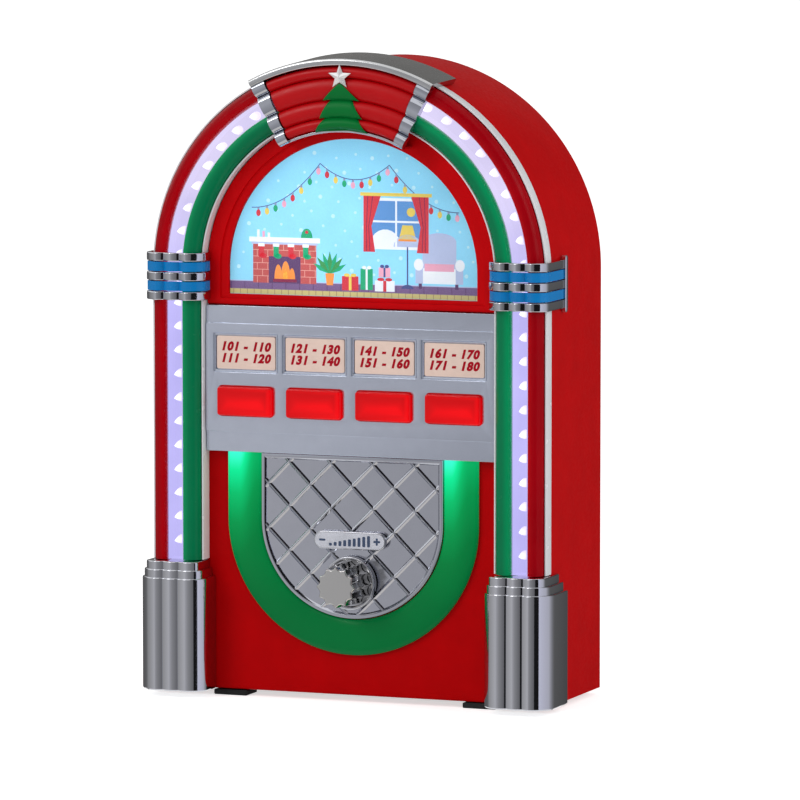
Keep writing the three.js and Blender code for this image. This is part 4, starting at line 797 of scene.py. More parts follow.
def treeSkin():
    # Rows of constant radius that follow the ribs, from the tip down. In a tier the reach to the side
    # grows as share ^ flank, and the front keeps the panel's depth at that radius.
    share, top = np.linspace(0, 1, relief["rows"]), relief["top"]
    radius, reach = [], []
    for height, half, shoulder in zip(relief["tiers"], relief["half"], relief["shoulder"]):
        radius.append(top - height * share)
        reach.append(shoulder + (half - shoulder) * share ** relief["flank"])
        top -= height
    radius, reach = np.concatenate(radius)[:, None], np.concatenate(reach)[:, None]
    across = np.linspace(-1, 1, relief["columns"])
    x = reach * across
    droop = relief["droop"] * np.abs(across) ** 3 * reach / reach.max()
    z = archZ + np.sqrt(np.maximum((radius - droop) ** 2 - x ** 2, 0))
    panel = ribFront(panelRadii, crownBaseY)[::-1]
    backY = np.interp(radius, panel[:, 0], panel[:, 1]) - gap + 0 * x
    inner = (1 - relief["rimThick"]) * (1 - np.abs(across) ** relief["rim"])
    face = np.stack([x, backY - relief["thick"] * (relief["rimThick"] + inner), z], axis=2)
    back = np.stack([x, backY, z], axis=2)
    return skin(np.concatenate([face, back[:, ::-1]], axis=1), smooth=40)


star = {"points": 5, "radius": 4.4, "valley": 0.42, "side": 0.3, "middle": 0.97}


def starMesh():
    # Points and valleys about the middle, short sides, and a ridge from the raised middle to each one
    count = 2 * star["points"]
    ring = np.arange(count)
    angle = np.pi * ring / star["points"]
    reach = star["radius"] * np.where(ring % 2 == 0, 1, star["valley"])
    middleZ = starHigh[2] - star["radius"] * star["middle"]
    outline = np.stack([reach * np.sin(angle), middleZ + reach * np.cos(angle)], axis=1)
    points = np.vstack([*prism(outline, starHigh[1], starHigh[1] - star["side"]), [[0, starLow[1], middleZ]]])
    after = (ring + 1) % count
    sides = np.stack([ring, after, count + after, count + ring], axis=1).tolist()
    rays = np.stack([count + ring, count + after, np.full(count, 2 * count)], axis=1).tolist()
    return mended(filled(points, [ring.tolist(), *sides, *rays]), slivers=weld, smooth=5)


dress("crownTree", treeSkin(), "crown_tree")
dress("crownStar", starMesh(), "crown_star")
print("crown made")

bezel = {"width": 7.8, "foot": 3.7, "slope": 0.8, "slopeWidth": 3.0, "step": 0.2, "edge": 0.4, "soft": 0.12}
pane = {"steps": 48, "edge": 0.2, "edgeSteps": 2}
windowRadius, windowBottom = bezelHigh[0] - bezel["width"], bezelLow[2] + bezel["foot"]


def bezelRing():
    # Arch outlines from the outer wall over the set-back slope to the hole, each at its depth
    front, wide, edge, soft = bezelLow[1], bezel["slopeWidth"], bezel["edge"], bezel["soft"]
    lowY, step = front + bezel["slope"], bezel["step"]
    rows = np.array([  # radius, bottom, depth
        [bezelHigh[0], bezelLow[2], bezelHigh[1]], [bezelHigh[0], bezelLow[2], front + edge],
        [bezelHigh[0] - soft, bezelLow[2] + soft, front + soft],
        [bezelHigh[0] - edge, bezelLow[2] + edge, front],
        [windowRadius + wide, windowBottom - wide / 2, front],
        [windowRadius + wide - step, windowBottom - wide / 2 + step, lowY],
        [windowRadius + edge, windowBottom - edge, lowY],
        [windowRadius + soft, windowBottom - soft, lowY + soft],
        [windowRadius, windowBottom, lowY + edge], [windowRadius, windowBottom, frontY],
        [windowRadius, windowBottom, bezelHigh[1]]])
    loops = [archLoop(radius, bottom) for radius, bottom, _ in rows]
    return skin(lifted(loops, rows[:, 2]), closedRows=True, smooth=25)


# A brighter copy of the cabinet's red plastic: painted light, so that the bezel looks more brightly lit than
# the cabinet
litBezelRed = finish("litBezelRed", (206, 2, 10), 0.38, grain=900, tiny=0.003, spread=0.05, shine=0.05)
dress("windowBezel", painted(bezelRing(), litBezelRed), "window_bezel")
paneLoop = archLoop(paneHigh[0], paneLow[2], pane["steps"])
paneMesh = plate([paneLoop], paneLow[1], paneHigh[1], pane["edge"], pane["edgeSteps"])
dress("windowPane", paneMesh, "window_pane")

# The picture: flat shapes stacked in thin layers, each with its own ink. Places are measured from the
# window's middle line and up from its bottom edge.
picture = {"steps": 64, "step": 0.018, "thick": 0.8, "middle": (-12.0, -15.5, 168.0), "near": 8.0,
           "far": 62.0, "bright": 0.86, "dim": 0.5, "grain": 900, "mottle": 0.06, "print": 0.55,
           "dark": (0.02, 0.02, 0.02, 1)}
ink = {"sky": (149, 222, 255), "dot": (196, 238, 255), "wood": (122, 92, 140), "plank": (92, 60, 108),
       "tile": (205, 190, 128), "joint": (150, 110, 96), "red": (214, 50, 66), "dark": (140, 36, 74),
       "green": (24, 168, 118), "leaf": (60, 150, 84), "white": (244, 246, 255), "lilac": (186, 196, 232),
       "grey": (140, 152, 190), "navy": (70, 78, 140), "gold": (236, 206, 96), "orange": (246, 150, 70),
       "brick": (196, 84, 84), "mortar": (226, 170, 160), "night": (96, 150, 214), "pink": (240, 170, 196)}
art = []  # layer, ink, loop


def box(x, z, wide, high):
    # From its lower left corner
    return rectLoop(x, x + wide, z, z + high)


def disc(x, z, wide, high, steps=14):
    # An ellipse about its middle
    return circleLoop(0, 0, 0.5, steps) * [wide, high] + [x, z]


def hump(x, z, wide, high):
    # The upper half of an ellipse on a flat foot
    angle = np.linspace(0, np.pi, 12)
    return np.stack([x + wide / 2 * np.cos(angle), z + high * np.sin(angle)], axis=1)


def stroke(points, wide):
    # A line of even width through points
    along = np.gradient(points, axis=0)
    normal = np.stack([-along[:, 1], along[:, 0]], axis=1)
    normal /= np.linalg.norm(normal, axis=1, keepdims=True)
    return np.vstack([points + normal * wide / 2, (points - normal * wide / 2)[::-1]])


def draw(x, z, *rows):
    # Each row is [layer, ink, shape, x, z, width, height]
    for layer, name, shape, right, up, wide, high in rows:
        art.append((layer, name, shape(x + right, z + up, wide, high)))


def drawRoom():
    # A plank floor with a tiled edge
    draw(0, 0, (0, "wood", box, -48, 0, 96, 4.6),
         *[(1, "plank", box, x, 1.7, 0.25, 2.6) for x in np.arange(-47, 47, 5.2)],
         (1, "tile", box, -48, 0, 96, 1.7),
         *[(2, "joint", box, x, 0, 0.18, 1.7) for x in np.arange(-46, 47, 2.6)],
         (1, "lilac", box, -48, 4.4, 96, 0.35))


def drawHearth(x):
    # Rows of brick, every second one shifted by half a brick, with a fire and a shelf
    draw(x, 4.0, (2, "brick", box, 0, 0, 24, 15))
    for row in range(6):
        draw(x, 4.0 + 2.3 * row, (3, "mortar", box, 0, 2.3, 24, 0.2),
             *[(3, "mortar", box, 1.5 + 4 * k + 2 * (row % 2), 0, 0.2, 2.3) for k in range(6)])
    draw(x, 0, (4, "plank", box, 6, 4.0, 12, 9.4), (4, "white", box, -1.4, 18.4, 26.8, 1.7),
         (5, "lilac", box, -0.6, 17.6, 25.2, 0.8), (5, "orange", hump, 9.6, 5.2, 3.0, 5.4),
         (6, "orange", hump, 12.4, 5.2, 3.6, 6.6), (6, "orange", hump, 14.8, 5.2, 2.4, 4.2),
         (6, "gold", hump, 12.3, 5.2, 1.8, 3.8), (7, "dark", box, 7.6, 4.4, 9, 1.1))
    for k, name in enumerate(("red", "green", "red", "green")):
        draw(x + 2.2 + 5.6 * k, 13.2, (6, name, box, 0, 0, 2.0, 4.6), (7, "white", box, -0.2, 3.6, 2.4, 1.1),
             (6, name, disc, 1.7, 0.3, 2.8, 1.9))
    draw(x, 20.1, *[(5, name, box, 1.6 + 2.0 * k, 0, 0.9, 2.6 - 0.5 * k)
                    for k, name in enumerate(("white", "pink", "white"))],
         (5, "green", hump, 20.4, 0, 4.4, 3.4), (6, "red", disc, 20.4, 2.1, 1.2, 1.2))


def drawPane(x, z):
    # A window from its lower left corner, with a curtain at each side
    draw(x, z, (2, "white", box, 0, 0, 22, 18), (3, "night", box, 1, 1, 20, 16),
         (4, "white", hump, 7, 1, 11.6, 6), (5, "lilac", hump, 15.4, 1, 10.6, 4.4),
         (4, "gold", disc, 16.6, 13.2, 3.2, 3.2),
         (6, "white", box, 10.7, 1, 0.7, 16), (6, "white", box, 1, 9.4, 9.7, 0.7),
         (6, "white", box, 11.4, 9.4, 9.6, 0.7))
    drape = np.array([[0, -1], [4.4, -1], [3.0, 8], [6.6, 19], [0, 19]])
    for edge, inward in ((x - 1.2, 1), (x + 23.2, -1)):
        art.append((7, "red", drape * [inward, 1] + [edge, z]))
        for k in range(2):
            fold = np.array([[1.2 + 1.2 * k, -0.8], [1.2 + 0.8 * k, 8], [1.6 + 1.9 * k, 18.6]])
            art.append((8, "dark", stroke(fold * [inward, 1] + [edge, z], 0.3)))
    draw(x, z, (9, "gold", box, -2.4, 18.6, 26.8, 1.2))


def drawChair(x):
    # An armchair from its left side
    draw(x, 0, (4, "lilac", box, 0.4, 8.6, 12.6, 12), (5, "lilac", hump, 6.7, 20.2, 12.6, 3),
         (6, "white", box, -1.6, 5.4, 16.6, 5.4), (7, "pink", box, 1.2, 9.8, 11, 2.6),
         (8, "white", disc, -1.0, 12.0, 3.6, 4.2), (8, "white", disc, 14.4, 12.0, 3.6, 4.2),
         (7, "lilac", box, -2.2, 5.4, 2.8, 6.8), (7, "lilac", box, 12.8, 5.4, 2.8, 6.8),
         (6, "plank", box, -1, 3.6, 1.2, 1.9), (6, "plank", box, 12.6, 3.6, 1.2, 1.9))


def drawLamp(x):
    # A standing lamp about its pole
    draw(x, 0, (4, "navy", box, -0.25, 4.2, 0.5, 17), (5, "navy", hump, 0, 3.4, 4.6, 1.4))
    art.append((5, "gold", np.array([[-3.4, 20], [3.4, 20], [1.9, 25.6], [-1.9, 25.6]]) + [x, 0]))
    draw(x, 0, (6, "orange", box, -3.4, 20, 6.8, 0.7))


def drawPlant(x):
    # Seven leaves turned by equal steps above a pot
    art.append((6, "orange", np.array([[-1.7, 8], [1.7, 8], [1.2, 3.8], [-1.2, 3.8]]) + [x, 0]))
    for k, lean in enumerate(np.linspace(-1.05, 1.05, 7)):
        tip = 6.4 + 1.6 * math.cos(lean)
        leaf = np.array([[0, 0], [0.9, 0.55 * tip], [0, tip], [-0.9, 0.55 * tip]])
        turn = np.array([[math.cos(lean), -math.sin(lean)], [math.sin(lean), math.cos(lean)]])
        art.append((4 + k % 2, ("green", "leaf")[k % 2], leaf @ turn + [x, 7.8]))


def drawGift(x, z, wide, high, wrap, ribbon):
    # A wrapped box with a ribbon across its middle
    draw(x, z, (7, wrap, box, 0, 0, wide, high), (8, ribbon, box, wide * 0.42, 0, wide * 0.16, high),
         (8, ribbon, disc, wide * 0.3, high + 0.4, wide * 0.36, 1.2),
         (8, ribbon, disc, wide * 0.7, high + 0.4, wide * 0.36, 1.2))


def drawLights():
    # Strings that sag by 1 - span ^ 2 between their ends, with a small lamp at every fifth point
    span = np.linspace(-1, 1, 41)
    for x0, x1, z0, z1, sag in ((-39, -13, 30.5, 46.5, 4.2), (-13, 13, 46.5, 46.5, 5.4),
                                (13, 39, 46.5, 30.5, 4.2)):
        share = (span + 1) / 2
        line = np.stack([x0 + (x1 - x0) * share, z0 + (z1 - z0) * share - sag * (1 - span ** 2)], axis=1)
        art.append((3, "navy", stroke(line, 0.28)))
        for k, name in zip(range(4, 40, 5), ("red", "gold", "green", "pink") * 2):
            draw(*line[k], (4, "grey", box, -0.4, -1.0, 0.8, 0.9), (5, name, disc, 0, -2.0, 1.7, 2.4))


def drawSnow():
    # Soft dots in rows that lean, skipped where a row leaves the arch
    for row in range(9):
        for k in range(13):
            x = -44 + 7.2 * k + 3.1 * (row % 2) + 1.3 * math.sin(5 * row + k)
            z = 8.5 + 5.1 * row + math.cos(3 * k)
            wide = 1.0 + 0.5 * ((k + row) % 3 == 0)
            if x ** 2 + max(z - 9, 0) ** 2 < 45 ** 2:
                art.append((1, "dot", disc(x, z, wide, wide, 8)))


drawRoom()
drawHearth(-38.5)
drawPane(4.5, 17.0)
drawChair(25.0)
drawLamp(19.8)
drawPlant(-9.4)
for gift in ((-4.8, 2.2, 6.2, 5.0, "red", "gold"), (2.2, 2.6, 4.6, 7.4, "green", "white"),
             (7.6, 2.2, 7.4, 3.8, "white", "red"), (9.0, 7.2, 4.4, 3.4, "pink", "navy")):
    drawGift(*gift)
drawLights()
drawSnow()


def pictureMesh():
    # Every shape is a thin plate: its loop at two depths, a face on each and quads between them
    points, faces, inks = [], [], []
    sheet = archLoop(paneHigh[0], paneLow[2], picture["steps"]) - [0, windowBottom]
    for layer, name, loop in [(-1, "sky", sheet), *art]:
        count, ring = len(loop), np.arange(len(loop))
        first, after = len(points) + ring, len(points) + (ring + 1) % count
        front = pictureLow[1] - picture["step"] * (layer + 1)
        back = pictureHigh[1] if layer < 0 else front + picture["thick"] * picture["step"]
        points += prism(loop + [0, windowBottom], front, back).reshape(-1, 3).tolist()
        faces += [first[::-1].tolist(), (first + count).tolist()]
        faces += np.stack([first, after, after + count, first + count], axis=1).tolist()
        inks += [full(ink[name])] * (2 * count)
    return mended(marked(filled(points, faces), "ink", np.array(inks)), doubles=0, smooth=0)


def backlit(material):
    # Printed ink lit from behind: brightest a little left of the middle, and dimmer to the edge
    tree = material.node_tree
    printed = addNode(tree, "Attribute", attribute_name="ink").outputs["Color"]
    place, middle = objectPlace(tree), np.array(picture["middle"]) * mm
    away = addNode(tree, "VectorMath", {0: place, 1: middle}, operation="DISTANCE").outputs["Value"]
    fall = addRange(tree, away, picture["near"] * mm, picture["far"] * mm, picture["bright"],
                    picture["dim"], "SMOOTHSTEP")
    grain = addNoise(tree, place, picture["grain"], 2)
    mottle = addRange(tree, grain, 0, 1, 1 - picture["mottle"], 1 + picture["mottle"])
    feed(tree, tree.nodes["Principled BSDF"], {
        "Emission Color": printed, "Emission Strength": addMath(tree, "MULTIPLY", fall, mottle),
        "Base Color": addMix(tree, picture["print"], printed, picture["dark"])})


backlit(finishes["picture_paper"])
dress("windowPicture", pictureMesh(), "window_picture")
print("window made")

guide = {"width": 12.7, "edge": 1.0, "crest": 2.7, "crestSteps": 32, "fade": 52.0, "shift": 4.0, "line": 40.0,
         "near": 1.5, "far": 8.5, "side": 0.66,
         "stops": [(0.0, (0, 50, 24)), (0.3, (0, 80, 38)), (0.52, (0, 120, 62)), (0.72, (2, 172, 100)),
                   (0.88, (8, 224, 148)), (1.0, (62, 250, 216))]}
guidePath = np.vstack([[[guideHigh[2], 1, 0]], stations(guideZ, 90, 270, arcSteps),
                       [[guideHigh[2], -1, 0]]])
guideInner, guideEdgeY = guideOuter - guide["width"], frontY - guide["edge"]
guideCrest = bulge([guideOuter, guideEdgeY], [guideInner, guideEdgeY], guide["crest"] - guide["edge"],
                   guide["crestSteps"])
guideBar = np.vstack([[[guideInner, seatY], [guideOuter, seatY]], guideCrest])


def endLit(material):
    # Light from the two upper ends: it fades with the distance below the top and with the distance of
    # |x + shift| from the glow's own line
    tree = material.node_tree
    place = axes(tree)
    drop = addRange(tree, place["Z"], (guideHigh[2] - guide["fade"]) * mm, guideHigh[2] * mm)
    side = addMath(tree, "ABSOLUTE", addMath(tree, "ADD", place["X"], guide["shift"] * mm))
    away = addMath(tree, "ABSOLUTE", addMath(tree, "SUBTRACT", side, guide["line"] * mm))
    across = addRange(tree, away, guide["near"] * mm, guide["far"] * mm, 1, guide["side"], "SMOOTHSTEP")
    glow = addRamp(tree, addMath(tree, "MULTIPLY", drop, across),
                   [(position, linear(colour)) for position, colour in guide["stops"]])
    feed(tree, tree.nodes["Principled BSDF"], {"Emission Color": glow, "Emission Strength": 1.0})


endLit(finishes["guide_plastic"])
dress("lightGuide", swept(guideBar, guidePath), "light_guide")

ring = {"radius": 9.5, "lip": 1.1, "well": 0.8, "edges": [0.05, 0.3, 0.5, 0.5, 0.3, 0.05]}
ringWell, ringLip = ringHigh[1] - ring["well"], ring["radius"] - ring["lip"]
ringProfile = softened(np.array([[cabinet["shaftHole"], ringHigh[1]], [ring["radius"], ringHigh[1]],
                                 [ring["radius"], ringLow[1]], [ringLip, ringLow[1]], [ringLip, ringWell],
                                 [cabinet["shaftHole"], ringWell]]), ring["edges"])
dress("knobRing", skin(turned(ringProfile, 0, knobZ), closedRows=True), "knob_ring")

# Grille: a flat plate, a raised rim and raised bars at 45 degrees that cross in diamonds
grille = {"plate": 0.9, "inset": 0.4, "rib": 0.5, "ribWidth": 1.65, "ribTop": 0.15, "ribFoot": 0.3,
          "rim": 0.75, "rimWidth": 1.95, "rimTop": 1.1, "diagonal": 15.8, "bars": 8, "samples": 4001,
          "plateEdge": 0.01, "ribEdges": [0.01, 0.12, 0.3, 0.3, 0.12, 0.01],
          "rimEdges": [0.05, 0.3, 0.2, 0.1, 0.05]}
grilleRadius, grilleTop, faceY = guideInner - gap, grilleHigh[2], seatY - grille["plate"]


def barEnds(slope, crossings):
    # The first and last x on each line z = slope * x + crossing that lies in the bowl: below the top,
    # and inside the circle where it is lower than the circle's middle
    reach, top = grilleRadius - grille["rimWidth"] / 2, grilleTop - grille["rimWidth"] / 2
    x = np.linspace(-reach, reach, grille["samples"])
    z = slope * x + crossings[:, None]
    inside = (z < top) & ((z > guideZ) | (x ** 2 + (z - guideZ) ** 2 < reach ** 2))
    met = inside.any(axis=1)
    first, last = inside[met].argmax(axis=1), len(x) - 1 - inside[met][:, ::-1].argmax(axis=1)
    return np.stack([x[first], x[last]], axis=1), crossings[met]


def barGrids():
    # A section with sloped flanks and a narrow flat top, laid across both ends of each line
    half, top, high, foot = grille["ribWidth"] / 2, grille["ribTop"] / 2, -grille["rib"], grille["ribFoot"]
    section = np.array([[-half, foot], [-half, 0], [-top, high], [top, high], [half, 0], [half, foot]])
    section = softened(section, grille["ribEdges"], 3)
    across = section[:, 0] / math.sqrt(2)
    allCrossings = labelHigh[2] + np.arange(-grille["bars"], grille["bars"] + 1) * grille["diagonal"]
    grids = []
    for slope in (-1, 1):
        ends, crossings = barEnds(slope, allCrossings)
        x = ends[:, :, None] - slope * across
        z = (slope * ends + crossings[:, None])[:, :, None] + across
        grids.append(np.stack([x, faceY + section[:, 1] + 0 * x, z], axis=3))
    return np.concatenate(grids)


def grilleRim():
    # Bowl outlines at growing insets, each at its depth, over the rim's flat top and down its slope
    topY, wide = faceY - grille["rim"], grille["rimWidth"]
    rows = np.array([[0, seatY], [0, topY], [grille["rimTop"], topY], [wide, faceY], [wide, seatY]])
    rows = softened(rows, grille["rimEdges"], 3)
    loops = [bowlLoop(grilleRadius - inward, grilleTop - inward) for inward in rows[:, 0]]
    return skin(lifted(loops, rows[:, 1]), closedRows=True)


grillePlate = plate([bowlLoop(grilleRadius - grille["inset"], grilleTop - grille["inset"]),
                     circleLoop(0, knobZ, cabinet["shaftHole"], 48)], faceY, seatY, grille["plateEdge"], 0)
grillePlating = finish("grillePlating", (194, 196, 205), 0.11, 1.0, grain=1800, tiny=0.001, spread=0.02,
                       roughSpread=0.02)
grilleMesh = joined([grillePlate, grilleRim(), skins(barGrids(), smooth=25)])
dress("grille", painted(grilleMesh, grillePlating), "grille")

knob = {"tip": 7.2, "valley": 6.2, "back": 7.8, "flutes": 12, "perFlute": 12, "edge": 0.45, "foot": 0.2,
        "face": [0.96, 0.5], "shaft": 3.0, "shaftIn": 2.0}


def knobMesh():
    # A ring of hollow flutes between sharp tips, radius = tip - depth of a flute * |sin(half the flute
    # count * angle)|, which widens to the back. Two smaller rings lie in the flat face.
    angle = np.linspace(0, 2 * np.pi, knob["flutes"] * knob["perFlute"], endpoint=False)
    outline = knob["tip"] - (knob["tip"] - knob["valley"]) * np.abs(np.sin(knob["flutes"] * angle / 2))
    backY, turn = ringWell - gap, np.linspace(0, np.pi / 2, 5)
    depth = np.concatenate([[backY, backY - knob["foot"]], knobLow[1] + knob["edge"] * (1 - np.sin(turn))])
    inward = np.concatenate([[knob["foot"], 0], knob["edge"] * (1 - np.cos(turn))])
    flare = 1 + (knob["back"] / knob["tip"] - 1) * (depth - knobLow[1]) / (backY - knobLow[1])
    radius = outline * flare[:, None] - inward[:, None]
    radius = np.vstack([radius, *[radius[-1] * part for part in knob["face"]]])
    depth = np.append(depth, [knobLow[1]] * len(knob["face"]))[:, None] + 0 * radius
    body = skin(np.stack([radius * np.sin(angle), depth, knobZ + radius * np.cos(angle)], axis=2), smooth=28)
    shaft = np.array([[knob["shaft"], backY - knob["shaftIn"]], [knob["shaft"], knobHigh[1]]])
    return joined([body, skin(turned(shaft, 0, knobZ, 32))])


knobPlating = finish("knobPlating", (204, 203, 200), 0.08, 1.0, spread=0.02, roughSpread=0.01)
dress("volumeKnob", painted(knobMesh(), knobPlating), "volume_knob")

# Label: a plate with round ends, a pale printed face and plain marks: a bar, a rising row, a cross
label = {"edge": 0.35, "frame": 0.5, "slack": 0.01, "body": 0.05, "face": (0.03, 0.2), "print": 0.1,
         "cross": 0.005, "corner": 0.3, "rowX": 7.2, "rowLow": -2.0, "rowWide": 1.1, "rowTall": (1.0, 4.0),
         "rowCount": 9, "signX": 10.3, "minus": 2.4, "plus": 2.6, "stroke": 0.75}
labelZ = (labelLow[2] + labelHigh[2]) / 2


def labelPlate(inset):
    # An outline whose ends are half circles, smaller by an inset
    wide, tall = labelHigh[0] - labelLow[0] - 2 * inset, labelHigh[2] - labelLow[2] - 2 * inset
    return roundRect(0, labelZ, wide, tall, tall / 2 - label["slack"], 12)


def mark(x, z, wide, high):
    # A printed stroke with round corners
    return roundRect(x, z, wide, high, label["corner"], 3)


rising = zip(np.linspace(-label["rowX"], label["rowX"], label["rowCount"]),
             np.linspace(*label["rowTall"], label["rowCount"]))
markLoops = [*[mark(x, labelZ + label["rowLow"] + tall / 2, label["rowWide"], tall) for x, tall in rising],
             mark(-label["signX"], labelZ, label["minus"], label["stroke"]),
             mark(label["signX"], labelZ, label["plus"], label["stroke"])]
upright = mark(label["signX"], labelZ, label["stroke"], label["plus"])
printY = labelLow[1] + label["print"]
marks = joined([skins([prism(loop, labelLow[1], printY) for loop in markLoops]),
                skin(prism(upright, labelLow[1] + label["cross"], printY))])
labelBody = plate([labelPlate(0)], labelLow[1] + label["body"], labelHigh[1], label["edge"], 4)
labelFace = skin(prism(labelPlate(label["frame"]), *[labelLow[1] + depth for depth in label["face"]]))
dress("volumeLabel", joined([
    painted(labelBody, finishes["chrome_plating"]),
    painted(labelFace, finish("labelFace", (214, 216, 226), 0.45, 0.2, tiny=0.01, grain=2000)),
    painted(marks, finish("labelInk", (58, 76, 108), 0.5))]), "volume_label")
print("grille, knob and label made")

# Selector panel: the raised middle has pockets and button holes, the layer behind is the two set-back
# strips and the pocket walls, the next one is the pocket floor, and a rim stands behind them all
selector = {"step": 0.6, "pocket": 1.0, "face": 1.8, "rim": 1.6, "top": 0.12, "bottom": 0.865, "flange": 1.25,
            "surround": 1.5, "wider": 0.4, "slope": 0.14, "holeCorner": 1.3,
            "lap": [0.02, 0.2, 0, 0.05], "edge": [0.22, 0.25, 0.1, 0.05], "edgeSteps": [4, 4, 2, 1]}
cardZ, buttonZ = (cardLow[2] + cardHigh[2]) / 2, (buttonLow[2] + buttonHigh[2]) / 2
cardWide, cardTall = cardHigh[0] - cardLow[0], cardHigh[2] - cardLow[2]
buttonWide = buttonHigh[0] - buttonLow[0] - 2 * selector["flange"]
buttonTall = buttonHigh[2] - buttonLow[2] - 2 * selector["flange"]
faceFrontY = panelLow[1]


def pocketLoop(x, grow, radius=0.5, steps=3):
    # A card's outline with the gap round it, wider and taller by the growth
    return roundRect(x, cardZ, cardWide + 2 * gap + grow, cardTall + 2 * gap + grow, radius, steps)


def pocketRing(x):
    # A sloped ring from the face plane down to the card, with a flat back
    surround, slope, back = selector["surround"], selector["slope"], selector["pocket"] + 0.1
    grow = [surround + 0.1, surround - 0.3, 0.3, 0, 0, surround + 0.1]
    down = faceFrontY + np.array([0.3, 0.04, slope, slope + 0.15, back, back])
    return skin(lifted([pocketLoop(x, g, 0.4 + 0.2 * g, 4) for g in grow], down), closedRows=True, smooth=25)


def panelLayers():
    # Four plates from the front to the back, each lapping a little into the next one
    tall, rim, surround = panelHigh[2] - panelLow[2], selector["rim"], selector["surround"]
    stepY, floorY, backY = [faceFrontY + selector[level] for level in ("step", "pocket", "face")]
    holes = [roundRect(x, buttonZ, buttonWide + 2 * gap, buttonTall + 2 * gap, selector["holeCorner"], 5)
             for x in keyX]
    raised = rectLoop(-panelHigh[0], panelHigh[0], panelHigh[2] - selector["bottom"] * tall,
                      panelHigh[2] - selector["top"] * tall)
    whole = rectLoop(-panelHigh[0], panelHigh[0], panelLow[2], panelHigh[2])
    inside = rectLoop(rim - panelHigh[0], panelHigh[0] - rim, panelLow[2] + rim, panelHigh[2] - rim)
    pockets = [pocketLoop(x, surround) for x in keyX]
    widerPockets = [pocketLoop(x, surround + selector["wider"]) for x in keyX]
    loops = [[raised, *pockets, *holes], [whole, *widerPockets, *holes], [whole, *holes], [whole, inside]]
    lap = selector["lap"]
    fronts = [faceFrontY, stepY, floorY, backY - lap[3]]
    backs = [stepY + lap[0], floorY + lap[1], backY + lap[2], panelHigh[1]]
    return [plate(*layer) for layer in zip(loops, fronts, backs, selector["edge"], selector["edgeSteps"])]


dress("selectorPanel", joined([*panelLayers(), *[pocketRing(x) for x in keyX]]), "selector_panel")

# Cards with two lines of plain numbers in red ink
cards = {"size": 2.95, "scale": 1.4, "lean": 0.25, "bold": 0.085, "line": 4.15, "space": 1.16, "ink": 0.02,
         "proud": 0.01, "first": 101, "count": 10, "corner": 0.7, "edge": 0.06}


def numberLine(first, x, z):
    # Leaning numerals: every point moves to the right by lean * its height
    text = bpy.data.curves.new("numbers", "FONT")
    text.body = f"{first} - {first + cards['count'] - 1}"
    text.size = cards["size"] * cards["scale"] * mm
    text.align_x = text.align_y = "CENTER"
    text.offset = cards["bold"] * cards["size"] * mm
    text.space_character = cards["space"]
    text.extrude = cards["ink"] * mm
    text.resolution_u = 3
    frontLine = (cardLow[1] - cards["proud"]) * mm
    return flatMesh(text, lambda across, up, out: np.column_stack([
        across + cards["lean"] * up + x * mm, frontLine - out, up + z * mm]))


cardInk = finish("cardInk", (176, 8, 34), 0.55, shine=0.1)
for i, x in enumerate(keyX):
    first = cards["first"] + 2 * cards["count"] * i
    sheet = plate([roundRect(x, cardZ, cardWide, cardTall, cards["corner"], 4)], cardLow[1], cardHigh[1],
                  cards["edge"], 2)
    lines = joined([numberLine(first, x, cardZ + cards["line"] / 2),
                    numberLine(first + cards["count"], x, cardZ - cards["line"] / 2)])
    dress(f"titleCard{i + 1}", joined([painted(sheet, finishes["card_paper"]), painted(lines, cardInk)]),
          f"title_card_{i + 1}")

# Buttons: rounded rectangles that shrink and come forward over a soft shoulder to a crowned face
button = {"radius": 0.95, "leastRadius": 0.3, "shrink": 0.6, "shoulder": 0.6, "shoulderDepth": 0.9,
          "crown": 0.2, "rows": 7, "rings": 14, "start": 0.04, "middle": 0.4, "side": 0.5, "flange": 1.0,
          "stem": 1.5, "lap": 0.1}
# The light behind each button, and a painted highlight as a band near its right edge
behind = {"all": 0.2, "pool": 0.6, "poolX": 0.1, "poolZ": -0.4, "wide": 0.55, "tall": 0.45, "band": 0.2,
          "bandX": 0.8, "bandWide": 0.1, "bandTop": 0.9, "colour": (255, 4, 16)}


def buttonLit(mesh, x):
    # The light behind a button, kept per point: a pool below the middle that falls as the exponent of
    # minus the distance squared, and a painted highlight as a band at the right
    right, _, up = (pointsOf(mesh) / mm - [x, 0, buttonZ]).T
    u, v = right / (buttonWide / 2), up / (buttonTall / 2)
    across, up = (u - behind["poolX"]) ** 2 / behind["wide"], (v - behind["poolZ"]) ** 2 / behind["tall"]
    pool = np.exp(-(across + up))
    # The band near the right edge is a painted highlight, not light from behind
    side = np.clip((u - behind["bandX"]) / behind["bandWide"], 0, 1) * (v < behind["bandTop"])
    return marked(mesh, "glow", behind["all"] + behind["pool"] * pool + behind["band"] * side)


